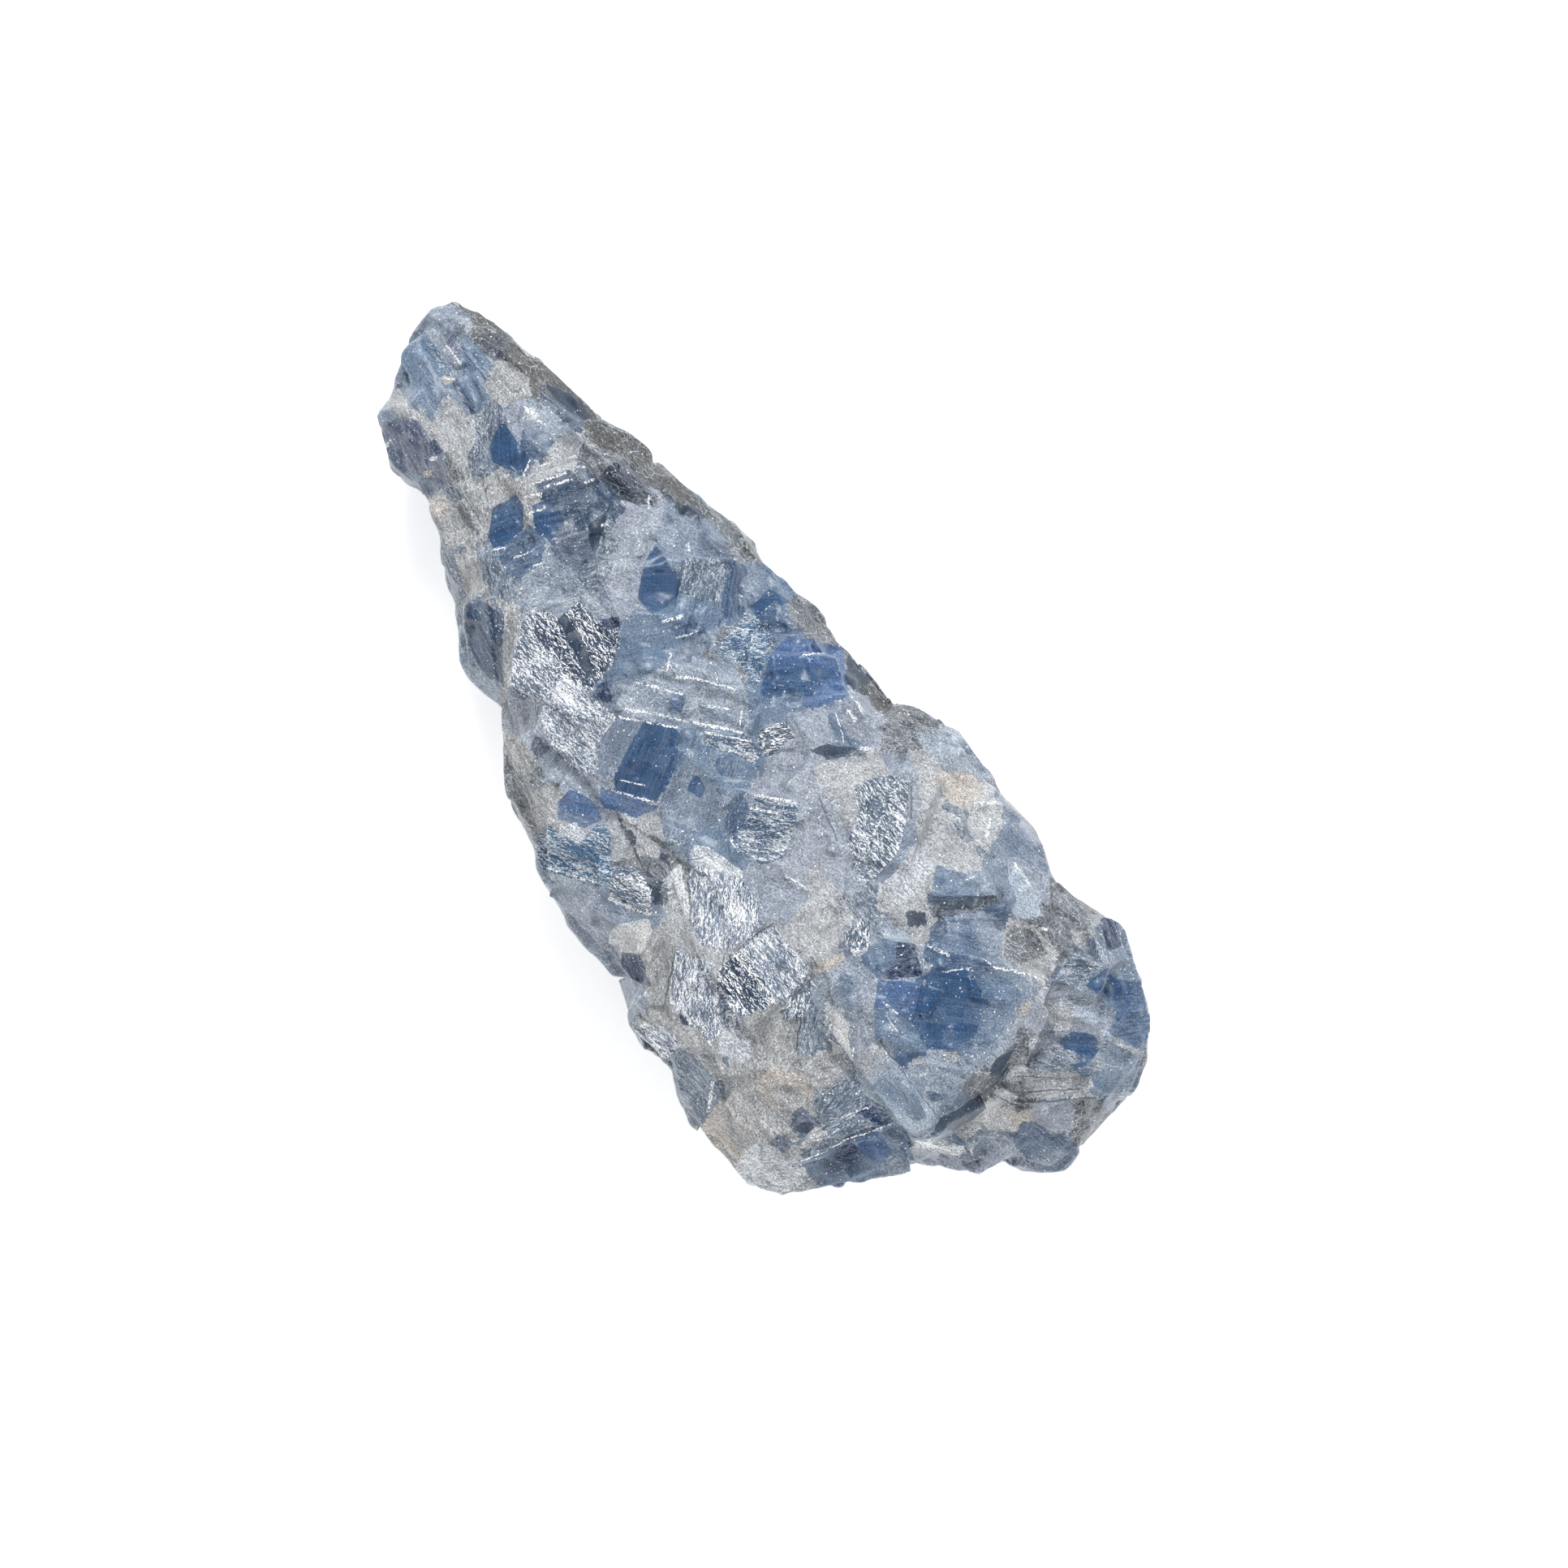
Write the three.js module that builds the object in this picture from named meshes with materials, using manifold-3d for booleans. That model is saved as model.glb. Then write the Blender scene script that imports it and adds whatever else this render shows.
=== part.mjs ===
// A hand specimen of rough blue calcite: one broken lump of coarse crystals grown together.
// Calcite splits along three planes into leaning blocks, so every crystal is a rhomb, a box whose
// faces meet at 102 and 78 degrees. The rhombs are sunk into a rounded core and fused with it, and
// what stands proud are flat faces, ledges and steps. Millimetres, +Z up, lying on its back:
// +X runs from the narrow tip to the broad end, and the origin is below the middle, on the table.
import * as THREE from "three";
import { mergeVertices } from "three/addons/utils/BufferGeometryUtils.js";
import Module from "manifold-3d";

const wasm = await Module();
wasm.setup();

// Driving dimensions, in millimetres.
const LENGTH = 80;
const WIDTH = 34.8;
const CORE_INSET = 1.3; // the core stays this far inside the outline, and the crystals reach past it
const CORE_SINK = 0.9; // and this far below the crystal faces on top
const CRYSTAL_DEPTH = 6; // how far a crystal reaches down into the lump
const CLEARING = 3; // how far above a crystal's face its neighbours are broken away
const LEDGE_RISE = 0.4; // height of one cleavage step
const SQUARENESS = 2.6; // of a cross-section: 2 is an ellipse, more is boxier

// Calcite's own angle, between the edges of one cleavage face.
const FACE_ANGLE = THREE.MathUtils.degToRad(101.9);

// The outline from above as two edges, each [x, y] from the tip to the broad end.
const HALF = { x: LENGTH / 2, y: WIDTH / 2 };
const FAR_EDGE = [
  [-HALF.x, 5.2], [-39.4, 6.5], [-38, 7.4], [-35.5, 8.3], [-33, 8.6], [-31, 9.2], [-27.5, 9.9],
  [-25.5, 10], [-22, 11.4], [-17, 11.9], [-14.5, 12.6], [-11.3, 13.3], [-9.8, 12.8], [-6.5, 13.7],
  [-3.8, 14.1], [-1.5, 13.5], [0.5, 14.1], [4.6, 13.9], [6.2, 15.6], [8.2, 16.2], [10, 16.6],
  [14.5, 16.3], [18.5, 16.9], [20.5, 16.2], [21.8, 15.5], [25.5, 16.2], [28.1, HALF.y],
  [32, 15.8], [33.8, 15.6], [35.3, 14.4], [37.8, 11.5], [38.8, 10], [39.2, 7], [39.7, 5],
  [HALF.x, 2.6],
];
const NEAR_EDGE = [
  [-HALF.x, 4.8], [-39.4, 2.3], [-38.2, 0.4], [-36.8, -1.6], [-36.2, -3.2], [-34.3, -4],
  [-32, -4.8], [-29, -4.2], [-26, -5], [-23.8, -6.7], [-21.8, -7.3], [-19.6, -8.4], [-18, -9.6],
  [-16.5, -10], [-13.2, -9.3], [-10.4, -11.2], [-8.2, -12.9], [-5.5, -13.4], [-3.6, -13.9],
  [-2.2, -14.8], [0.5, -15], [3.5, -15.7], [6, -15.1], [8.5, -15.3], [10.5, -15.9], [13, -17],
  [15.6, -15.8], [18, -16.9], [20.5, -HALF.y], [23.5, -16.7], [26.3, -16.8], [28.2, -14.8],
  [29.4, -12.6], [31, -11.3], [32.6, -6.5], [34.5, -4], [36.1, -2.4], [36.3, -1], [38, 0.1],
  [39.6, 1.3], [HALF.x, 2.4],
];
const EDGE = [...NEAR_EDGE, ...[...FAR_EDGE].reverse()];

// The side view as three lines, each [x, z]: the crest, the level of the girth, and the back.
const CREST = [[-40, 9.5], [-37, 12.5], [-30, 14.5], [-20, 17.5], [-8, 20.5], [4, 22.5],
  [16, 24], [29, 24], [31.5, 21], [36.5, 18.5], [38.5, 15.5], [40, 11]];
const GIRTH = [[-40, 7], [-20, 8.5], [0, 9.5], [20, 10], [40, 8]];
const BACK = [[-40, 5.5], [-33, 2.6], [-26, 0.9], [-4, 0.5], [20, 0.9], [30, 0.7], [35, 2.4], [40, 6]];

// Value at x of a line given as [x, value] points.
function along(line, x) {
  const last = line.length - 1;
  const found = line.findIndex(([px]) => px >= x);
  const i = Math.max(1, found < 0 ? last : found);
  const [x0, v0] = line[i - 1];
  const [x1, v1] = line[i];
  return v0 + (v1 - v0) * THREE.MathUtils.clamp((x - x0) / (x1 - x0), 0, 1);
}

// A repeatable random number from 0 to 1.
function seeded(seed) {
  let state = seed;
  return () => {
    state = (state * 1664525 + 1013904223) % 4294967296;
    return state / 4294967296;
  };
}

// Middle and half width of the outline at x.
function girthAt(x) {
  const far = along(FAR_EDGE, x);
  const near = along(NEAR_EDGE, x);
  return { middle: (far + near) / 2, half: (far - near) / 2 };
}

// Point of the lump's smooth envelope. Angle 0 is the far side, 90 degrees the crest, 270 the back.
function envelope(x, angle, inset = 0, sink = 0) {
  const { middle, half } = girthAt(x);
  const c = Math.cos(angle);
  const s = Math.sin(angle);
  const power = 2 / SQUARENESS;
  const level = along(GIRTH, x);
  const reach = s > 0 ? along(CREST, x) - sink - level : level - along(BACK, x);
  const across = Math.max(0.3, half - inset) * Math.sign(c) * Math.abs(c) ** power;
  return new THREE.Vector3(x, middle + across, level + reach * Math.sign(s) * Math.abs(s) ** power);
}

// Outward normal of the envelope, from two short steps along it.
function envelopeNormal(x, angle) {
  const STEP = 0.8;
  const alongX = envelope(x + STEP, angle).sub(envelope(x - STEP, angle));
  const turn = envelope(x, angle + 0.1).sub(envelope(x, angle - 0.1));
  return turn.cross(alongX).normalize();
}

// Angle on the envelope of a point of its upper side seen from above.
function angleAt(x, y) {
  const { middle, half } = girthAt(x);
  const t = THREE.MathUtils.clamp((y - middle) / half, -0.995, 0.995);
  const c = Math.sign(t) * Math.abs(t) ** (SQUARENESS / 2);
  return Math.acos(c);
}

// A closed three.js geometry as a solid that can be joined and cut.
function solidOf(geometry) {
  geometry.deleteAttribute("normal");
  geometry.deleteAttribute("uv");
  const merged = mergeVertices(geometry, 1e-4);
  return new wasm.Manifold(
    new wasm.Mesh({
      numProp: 3,
      vertProperties: merged.attributes.position.array,
      triVerts: new Uint32Array(merged.index.array),
    }),
  );
}

// One cleavage rhomb. Its top face lies at the given place with that normal, turn is the heading
// of its long edges in degrees from +X, and spin turns it further about its own normal. A hand of
// -1 leans it the other way. With a depth below zero it rises from that face instead.
function rhomb({ at, normal, turn, spin = 0, length, width, depth = CRYSTAL_DEPTH, hand = 1 }) {
  const heading = THREE.MathUtils.degToRad(turn);
  const u = new THREE.Vector3(Math.cos(heading), Math.sin(heading), 0);
  u.addScaledVector(normal, -u.dot(normal)).normalize();
  u.applyAxisAngle(normal, THREE.MathUtils.degToRad(spin));
  const v = normal.clone().cross(u);
  const c = Math.cos(FACE_ANGLE);
  const s = Math.sin(FACE_ANGLE);
  const lean = (c - c * c) / s;
  const edge1 = new THREE.Vector3(1, 0, 0);
  const edge2 = new THREE.Vector3(hand * c, s, 0);
  const edge3 = new THREE.Vector3(hand * c, lean, Math.sqrt(1 - c * c - lean * lean));
  const shape = new THREE.Matrix4().makeBasis(
    edge1.multiplyScalar(length),
    edge2.multiplyScalar(width),
    edge3.multiplyScalar(Math.abs(depth)),
  );
  const pose = new THREE.Matrix4().makeBasis(u, v, normal).setPosition(at);
  const box = new THREE.BoxGeometry(1, 1, 1).translate(0, 0, -Math.sign(depth) / 2);
  return solidOf(box.applyMatrix4(shape).applyMatrix4(pose));
}

// The same rhomb with cleavage steps on it: each ledge is narrower and one step higher.
function steppedRhomb(crystal) {
  const blocks = [];
  const { ledges = 0, width, normal, turn } = crystal;
  const heading = THREE.MathUtils.degToRad(turn + 90);
  const across = new THREE.Vector3(Math.cos(heading), Math.sin(heading), 0);
  across.addScaledVector(normal, -across.dot(normal)).normalize();
  for (let i = 0; i <= Math.abs(ledges); i++) {
    const narrower = (width * i) / (Math.abs(ledges) + 1);
    const at = crystal.at
      .clone()
      .addScaledVector(normal, i * LEDGE_RISE)
      .addScaledVector(across, (Math.sign(ledges) * narrower) / 2);
    blocks.push(rhomb({ ...crystal, at, width: width - narrower }));
  }
  return wasm.Manifold.union(blocks);
}

// Adds one crystal to the lump. What stands in front of its face is broken away first.
function grow(lump, crystal) {
  const front = rhomb({ ...crystal, depth: -(crystal.clearing ?? CLEARING) });
  return lump.subtract(front).add(steppedRhomb(crystal));
}

// The crystals that show from above. at is the middle of the top face from above, rise its height
// over the smooth envelope, and tilt how far the face leans towards +X and +Y, in degrees. Without
// a tilt it follows the envelope.
const CRYSTALS = [
  // The tip, split into slats along the lump.
  { at: [-36.6, 7], size: [7, 3.4], turn: 14, rise: 0.3 },
  { at: [-35, 5.3], size: [4.2, 1], turn: -2, rise: 0.7 },
  { at: [-37, 4.3], size: [4.4, 1.5], turn: -2, rise: 0.6 },
  { at: [-36.4, 3], size: [5.6, 1.4], turn: -4, rise: 0.2 },
  { at: [-36.2, 1.4], size: [5.4, 2.2], turn: -8, rise: 0.5, ledges: 1 },
  { at: [-33, 3], size: [3, 1.2], turn: -4, rise: 0 },
  { at: [-31.6, 1.2], size: [6, 2.4], turn: -18, rise: 0.4, ledges: 1 },
  { at: [-35.3, -1.3], size: [2.6, 2], turn: 20, rise: 0.3 },
  { at: [-32.2, -2.7], size: [7.4, 4], turn: -6, rise: 0.5, tilt: [-6, -50] },
  { at: [-31.9, 5.3], size: [3.4, 3], turn: -20, rise: 0.5 },
  { at: [-27.6, 6.3], size: [7.4, 4], turn: 12, rise: 0.4, tilt: [-10, 18] },
  { at: [-28.6, 2.9], size: [7, 3], turn: -32, rise: 0.5, tilt: [-12, -10] },
  { at: [-26, 0.3], size: [2.6, 2.6], turn: -40, rise: 0.6 },
  { at: [-26.6, -2.3], size: [9, 2], turn: -24, rise: 0.3, tilt: [0, -32], ledges: 2 },
  { at: [-22.4, -5.6], size: [6, 3], turn: -26, rise: 0.3, tilt: [-4, -52] },
  // The neck behind the tip.
  { at: [-22.2, 3.4], size: [5.6, 5.6], turn: 66, rise: 0.8, tilt: [-14, 6], ledges: 2 },
  { at: [-23.6, -0.8], size: [4, 3.6], turn: 60, rise: 0.6, tilt: [-16, -12] },
  { at: [-20.8, 6.6], size: [4.2, 3], turn: 20, rise: 0.3, tilt: [4, 22] },
  { at: [-21.6, 9.4], size: [9, 4.4], turn: 10, rise: 0.4, tilt: [-4, 52] },
  { at: [-30, 8.6], size: [9, 3.2], turn: 10, rise: 0.4, tilt: [-6, 54] },
  { at: [-17.6, 6.4], size: [3.8, 3.4], turn: -48, rise: 0.7, tilt: [4, 10] },
  { at: [-19.2, 3], size: [3.2, 4], turn: -50, rise: 0.3, tilt: [10, 6] },
  { at: [-14.5, 3.2], size: [4.4, 2.8], turn: -25, rise: 0.8, tilt: [0, 4] },
  { at: [-18, -0.8], size: [5.4, 4.6], turn: -8, rise: 0.7, tilt: [-6, -8] },
  { at: [-13.3, -3], size: [8.4, 8], turn: -54, rise: 1.1, tilt: [-15, 5], ledges: 1 },
  { at: [-13.4, 6], size: [5, 4], turn: -58, rise: 0.2, tilt: [8, 14] },
  { at: [-14.6, 9.2], size: [6, 3], turn: 12, rise: 0.4, tilt: [-4, 30] },
  { at: [-10.2, 7.7], size: [6.2, 4], turn: -50, rise: 0.7, tilt: [6, 14], ledges: 1 },
  { at: [-10.2, 1.8], size: [5.4, 5.2], turn: 40, rise: 0.9, tilt: [6, -4] },
  { at: [-8.2, 10.9], size: [5.2, 4], turn: -40, rise: 0.5, tilt: [2, 34] },
  { at: [-6.9, 7.8], size: [4.6, 3.2], turn: -52, rise: 0.3, tilt: [-4, 20] },
  { at: [-15.5, 11.5], size: [7, 3.6], turn: 12, rise: 0.4, tilt: [-4, 56] },
  { at: [-20.4, -3.9], size: [5, 2.8], turn: -14, rise: 0.4, tilt: [-4, -34] },
  { at: [-17.4, -7.4], size: [7, 4.6], turn: -36, rise: 0.6, tilt: [-10, -56] },
  { at: [-16.6, -5.7], size: [9, 1.3], turn: -38, rise: 0.6, tilt: [-6, -26] },
  // The middle: the ladder of slats, the blue window beside it, and the blocks along both edges.
  { at: [-4.6, 1.4], size: [10.6, 2.4], turn: 34, rise: 0.8, tilt: [4, -8], ledges: 1 },
  { at: [-5.2, 3.3], size: [9, 2.2], turn: 34, rise: 1.1, tilt: [2, 4], ledges: 1 },
  { at: [-4, 5.3], size: [6.4, 2.2], turn: 34, rise: 0.9, tilt: [2, 10] },
  { at: [-3.8, -3.8], size: [6.8, 5.4], turn: -55, rise: 1.3, tilt: [10, -10] },
  { at: [-2.1, -6.4], size: [3.6, 2.6], turn: 33, rise: 0.5, tilt: [8, -20] },
  { at: [0.3, -2], size: [5.2, 4.4], turn: -50, rise: 0.5, tilt: [8, -6] },
  { at: [0.2, 1.7], size: [5.2, 3.8], turn: 34, rise: 0.8, tilt: [-4, 8] },
  { at: [3.7, 0.1], size: [5, 2.8], turn: -52, rise: 0.5, tilt: [12, 4] },
  { at: [6.2, 1.1], size: [5.2, 4.6], turn: 35, rise: 0.8, tilt: [-2, -4] },
  { at: [3.4, -3.4], size: [5, 4], turn: 20, rise: 0.4, tilt: [2, -10] },
  { at: [-0.2, 10], size: [5.4, 4.6], turn: 56, rise: 0.7, tilt: [4, 24], ledges: -1 },
  { at: [-3.5, 9.6], size: [4.8, 3.2], turn: 56, rise: 0.5, tilt: [-4, 26] },
  { at: [3.2, 9.4], size: [5, 4.4], turn: 66, rise: 1, tilt: [2, 18] },
  { at: [1.2, 5.6], size: [2.8, 2.4], turn: 60, rise: -0.3, tilt: [-10, 14] },
  { at: [6.7, 10.6], size: [3.6, 4.4], turn: 10, rise: 0.3, tilt: [-6, 20] },
  { at: [6.2, 6.6], size: [4.4, 4.4], turn: 20, rise: 0.5, tilt: [-4, 8] },
  { at: [-8.4, -6], size: [5.6, 4.4], turn: 14, rise: 0.8, tilt: [-8, -8], ledges: 1 },
  { at: [-3.4, -9.2], size: [4.2, 2.6], turn: 36, rise: 0.4, tilt: [0, -20] },
  { at: [-0.8, -11.5], size: [5, 5], turn: 40, rise: 1, tilt: [-2, -22], ledges: 1 },
  { at: [3.8, -10.8], size: [4.6, 3.6], turn: 36, rise: 0.8, tilt: [2, -24], ledges: 1 },
  { at: [3, -7.3], size: [4.4, 2.6], turn: -24, rise: -0.5, tilt: [10, -20] },
  { at: [3, -13.6], size: [6, 3.2], turn: 12, rise: 0.3, tilt: [2, -46] },
  { at: [-7.4, -10.6], size: [7, 3], turn: -28, rise: 0.3, tilt: [-8, -44], ledges: 2 },
  { at: [-12, -8.3], size: [3.6, 2.2], turn: -30, rise: 0.3, tilt: [-10, -36] },
  { at: [2.4, 12.9], size: [7, 3.4], turn: 0, rise: 0.2, tilt: [4, 56] },
  { at: [-4.6, 12.8], size: [6, 3], turn: 6, rise: 0.2, tilt: [-4, 56] },
  // The glittering faces between the middle and the big crystal.
  { at: [10.4, 8.4], size: [7.4, 6.2], turn: -58, rise: 1, tilt: [-10, 12], ledges: 1 },
  { at: [13, 8], size: [7, 2.2], turn: -63, rise: 0.6, tilt: [16, 10] },
  { at: [11.6, 4.4], size: [4.6, 2], turn: -14, rise: 0.3, tilt: [-6, -4] },
  { at: [8.8, 3], size: [4.8, 3.6], turn: -30, rise: 0.7, tilt: [4, 2] },
  { at: [14, 2.8], size: [4.6, 2.6], turn: 4, rise: 0.6, tilt: [-2, 4] },
  { at: [14.3, -0.8], size: [4.6, 4.8], turn: 2, rise: 0.8, tilt: [-2, -2] },
  { at: [10.2, -1], size: [4.8, 4], turn: 30, rise: 0.5, tilt: [0, -4] },
  { at: [15.4, 6.2], size: [4.6, 5.2], turn: -66, rise: 0.6, tilt: [2, 8] },
  { at: [14.4, 10.6], size: [4.2, 5], turn: 50, rise: 0.5, tilt: [-2, 16] },
  { at: [13.2, 14.5], size: [5.4, 4], turn: 6, rise: 0.5, tilt: [0, 42] },
  { at: [9.7, 14], size: [4.4, 4.4], turn: 24, rise: 0.4, tilt: [-14, 38] },
  { at: [6.7, 14.2], size: [3.8, 4], turn: 30, rise: 0.2, tilt: [-20, 46] },
  { at: [8.4, -5.3], size: [8, 5.8], turn: -18, rise: 0.8, tilt: [-12, -4], ledges: 1 },
  { at: [5, -4], size: [3.2, 2.4], turn: 20, rise: 0.8, tilt: [-14, 4] },
  { at: [14.5, -6], size: [4.8, 6.4], turn: -4, rise: 0.9, tilt: [-8, -4], ledges: -1 },
  { at: [9.6, -11], size: [7, 5], turn: -36, rise: 0.6, tilt: [-4, -22], ledges: 1 },
  { at: [14, -12], size: [5, 4.2], turn: -34, rise: 0.5, tilt: [-8, -24] },
  { at: [17.5, -11.2], size: [3.8, 3.4], turn: -12, rise: 0.8, tilt: [-14, -8] },
  { at: [7.3, -13.3], size: [4.6, 2.6], turn: -16, rise: -0.2, tilt: [4, -48] },
  { at: [12.8, -15], size: [5.4, 3.4], turn: 26, rise: 0.4, tilt: [2, -46] },
  { at: [18.6, -15.1], size: [6.4, 3.4], turn: -30, rise: 0.5, tilt: [2, -48] },
  { at: [18.2, -7], size: [4, 4.4], turn: -40, rise: 0.3, tilt: [-4, -14] },
  { at: [17.2, 1], size: [3.2, 4.6], turn: -30, rise: 0.6, tilt: [-6, 4] },
  // The big crystal and the smaller ones it carries.
  { at: [25.6, 4.2], size: [9.6, 8.4], turn: 34, rise: 2.6, tilt: [3, 6], depth: 9 },
  { at: [22.2, 8.6], size: [5.6, 5], turn: 60, rise: 2.1, tilt: [-8, 16], depth: 9 },
  { at: [22.6, 1], size: [3.8, 3.8], turn: 36, rise: 2.9, tilt: [-3, -4], depth: 9 },
  { at: [20.3, 2.8], size: [3.4, 3.2], turn: 40, rise: 2.2, tilt: [-12, -4], depth: 8 },
  { at: [19, -1.2], size: [4.6, 4], turn: -20, rise: 1.9, tilt: [-14, -14], depth: 8 },
  { at: [24, -1.4], size: [6.4, 3.4], turn: 8, rise: 2.5, tilt: [2, -12], depth: 9 },
  { at: [28.6, -0.8], size: [3.6, 3], turn: 40, rise: 2.7, tilt: [10, -8], depth: 9 },
  { at: [25.6, -3.4], size: [12, 3.6], turn: -4, rise: 1.9, tilt: [4, -34], depth: 9 },
  { at: [29.2, 6.6], size: [4.4, 3.4], turn: -60, rise: 1.8, tilt: [26, 12], depth: 9 },
  { at: [18.6, 9.4], size: [5, 3.6], turn: 58, rise: 1.5, tilt: [-14, 20] },
  { at: [18.9, 13.5], size: [5.2, 4.8], turn: 10, rise: 0.7, tilt: [0, 32] },
  { at: [22.4, 13], size: [3.6, 3.2], turn: -42, rise: 1.3, tilt: [2, 26] },
  { at: [16, 14.6], size: [3.6, 3.4], turn: 30, rise: 0.5, tilt: [-4, 40] },
  // The broad end, split into thin blocks.
  { at: [25.7, 11.4], size: [5, 3.6], turn: 34, rise: -0.2, tilt: [0, 26] },
  { at: [25, 14.6], size: [5.6, 3.8], turn: 8, rise: 0.3, tilt: [-4, 46] },
  { at: [28.5, 15.6], size: [4, 3.4], turn: -28, rise: 0.6, tilt: [6, 52] },
  { at: [29, 12.7], size: [3.6, 2.8], turn: 36, rise: 0.4, tilt: [4, 30] },
  { at: [32.8, 13.8], size: [6, 4.4], turn: -24, rise: 0.8, tilt: [22, 40] },
  { at: [31.4, 10.5], size: [4, 3], turn: 52, rise: 0.5, tilt: [12, 22], ledges: 1 },
  { at: [36, 10.6], size: [4.8, 4.4], turn: -50, rise: 0.6, tilt: [40, 22] },
  { at: [33.4, 9], size: [3, 2.6], turn: 50, rise: 0.1, tilt: [20, 14] },
  { at: [33, 6.6], size: [5.6, 1.8], turn: 54, rise: 0.4, tilt: [14, 4], ledges: 1 },
  { at: [35.2, 6.4], size: [6, 1.8], turn: 54, rise: 0.3, tilt: [26, 6], ledges: -1 },
  { at: [37, 5], size: [3.4, 3], turn: 60, rise: 0.3, tilt: [40, 4] },
  { at: [37.4, 2.4], size: [4.2, 3.4], turn: 10, rise: 0.6, tilt: [36, -22] },
  { at: [33.6, 2.2], size: [3.2, 3], turn: 24, rise: 0.3, tilt: [12, -6] },
  { at: [31.8, 1.4], size: [2.4, 4], turn: 0, rise: -0.8, tilt: [12, -4] },
  { at: [33.3, -2.4], size: [4.4, 3], turn: 40, rise: 0.4, tilt: [20, -36] },
  { at: [35, -0.4], size: [3, 2.6], turn: 30, rise: 0.4, tilt: [34, -32] },
  { at: [34.2, -3.6], size: [4.6, 2.6], turn: 38, rise: 0.3, tilt: [30, -56] },
  { at: [30, -8.8], size: [7.2, 3.6], turn: 76, rise: 0.8, tilt: [30, -34] },
  { at: [27.3, -9.4], size: [7, 1.8], turn: 76, rise: 0.9, tilt: [6, -18], ledges: 1 },
  { at: [24.3, -7.4], size: [5.4, 3.4], turn: 12, rise: 0.2, tilt: [0, -14] },
  { at: [20.6, -8.2], size: [4, 3.2], turn: -44, rise: 0.3, tilt: [-6, -14] },
  { at: [24.8, -10.8], size: [3.8, 3], turn: 50, rise: 0, tilt: [2, -26] },
  { at: [22, -12.2], size: [5.2, 4.4], turn: 8, rise: 0.5, tilt: [-2, -28] },
  { at: [22.6, -15.2], size: [4.8, 3.4], turn: -8, rise: 0.4, tilt: [0, -50] },
  { at: [26.6, -14.4], size: [4.6, 4.4], turn: 60, rise: 0.5, tilt: [10, -42] },
];

// Notches between the crystals: dark slots where a sliver of crystal has broken out.
const NOTCHES = [
  { at: [5, 8.6], size: [4.4, 0.8], turn: 60, rise: 2, depth: 3.4 },
  { at: [19.8, 9.2], size: [6, 0.9], turn: 58, rise: 3, depth: 4.4 },
  { at: [18.5, 5.6], size: [1.8, 1.6], turn: 60, rise: 3, depth: 4.2 },
  { at: [8.6, 5.2], size: [3.6, 0.7], turn: -14, rise: 2, depth: 3 },
  { at: [31, 2.6], size: [4.6, 1], turn: -78, rise: 2.6, depth: 4 },
  { at: [3.4, -7.9], size: [4.4, 1], turn: -26, rise: 2, depth: 3.4 },
  { at: [7.4, -13.2], size: [2.6, 1.1], turn: 8, rise: 2, depth: 3 },
];

// Crystals that rest on the table, each with its flat face down: [x, y, length, width, turn].
const FEET = [
  [7, 0.5, 15, 9.5, 14],
  [-17, 1.2, 8.5, 4.2, -24],
  [24, -3.5, 8.5, 4.6, 62],
];

// Where a crystal sits, from its place seen from above.
function placed({ at: [x, y], size: [length, width], rise = 0, tilt, ...rest }) {
  const angle = angleAt(x, y);
  const normal = tilt
    ? new THREE.Vector3(...tilt.map((t) => Math.tan(THREE.MathUtils.degToRad(t))), 1).normalize()
    : envelopeNormal(x, angle);
  const at = envelope(x, angle);
  at.y = y;
  at.z += rise;
  return { ...rest, rise, at, normal, length, width };
}

// The core: rings of the envelope, a little inside it, with a flat fan across each end.
function core() {
  const RINGS = 10;
  const SIDES = 10;
  const points = [];
  const faces = [];
  for (let i = 0; i <= RINGS; i++) {
    const x = THREE.MathUtils.lerp(-HALF.x + 2, HALF.x - 2, i / RINGS);
    for (let j = 0; j < SIDES; j++) {
      points.push(...envelope(x, (j / SIDES) * Math.PI * 2, CORE_INSET, CORE_SINK));
    }
  }
  for (let i = 0; i < RINGS; i++) {
    for (let j = 0; j < SIDES; j++) {
      const a = i * SIDES + j;
      const b = i * SIDES + ((j + 1) % SIDES);
      faces.push(a, b, a + SIDES, b, b + SIDES, a + SIDES);
    }
  }
  const end = RINGS * SIDES;
  for (let j = 1; j < SIDES - 1; j++) {
    faces.push(0, j + 1, j, end, end + j, end + j + 1);
  }
  const geometry = new THREE.BufferGeometry();
  geometry.setAttribute("position", new THREE.Float32BufferAttribute(points, 3));
  geometry.setIndex(faces);
  return solidOf(geometry);
}

// The outline as a wall round the lump, from the table up.
function outline() {
  const TALL = 40;
  const shape = new THREE.Shape(EDGE.map(([x, y]) => new THREE.Vector2(x, y)));
  return solidOf(new THREE.ExtrudeGeometry(shape, { depth: TALL, bevelEnabled: false }));
}

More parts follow.
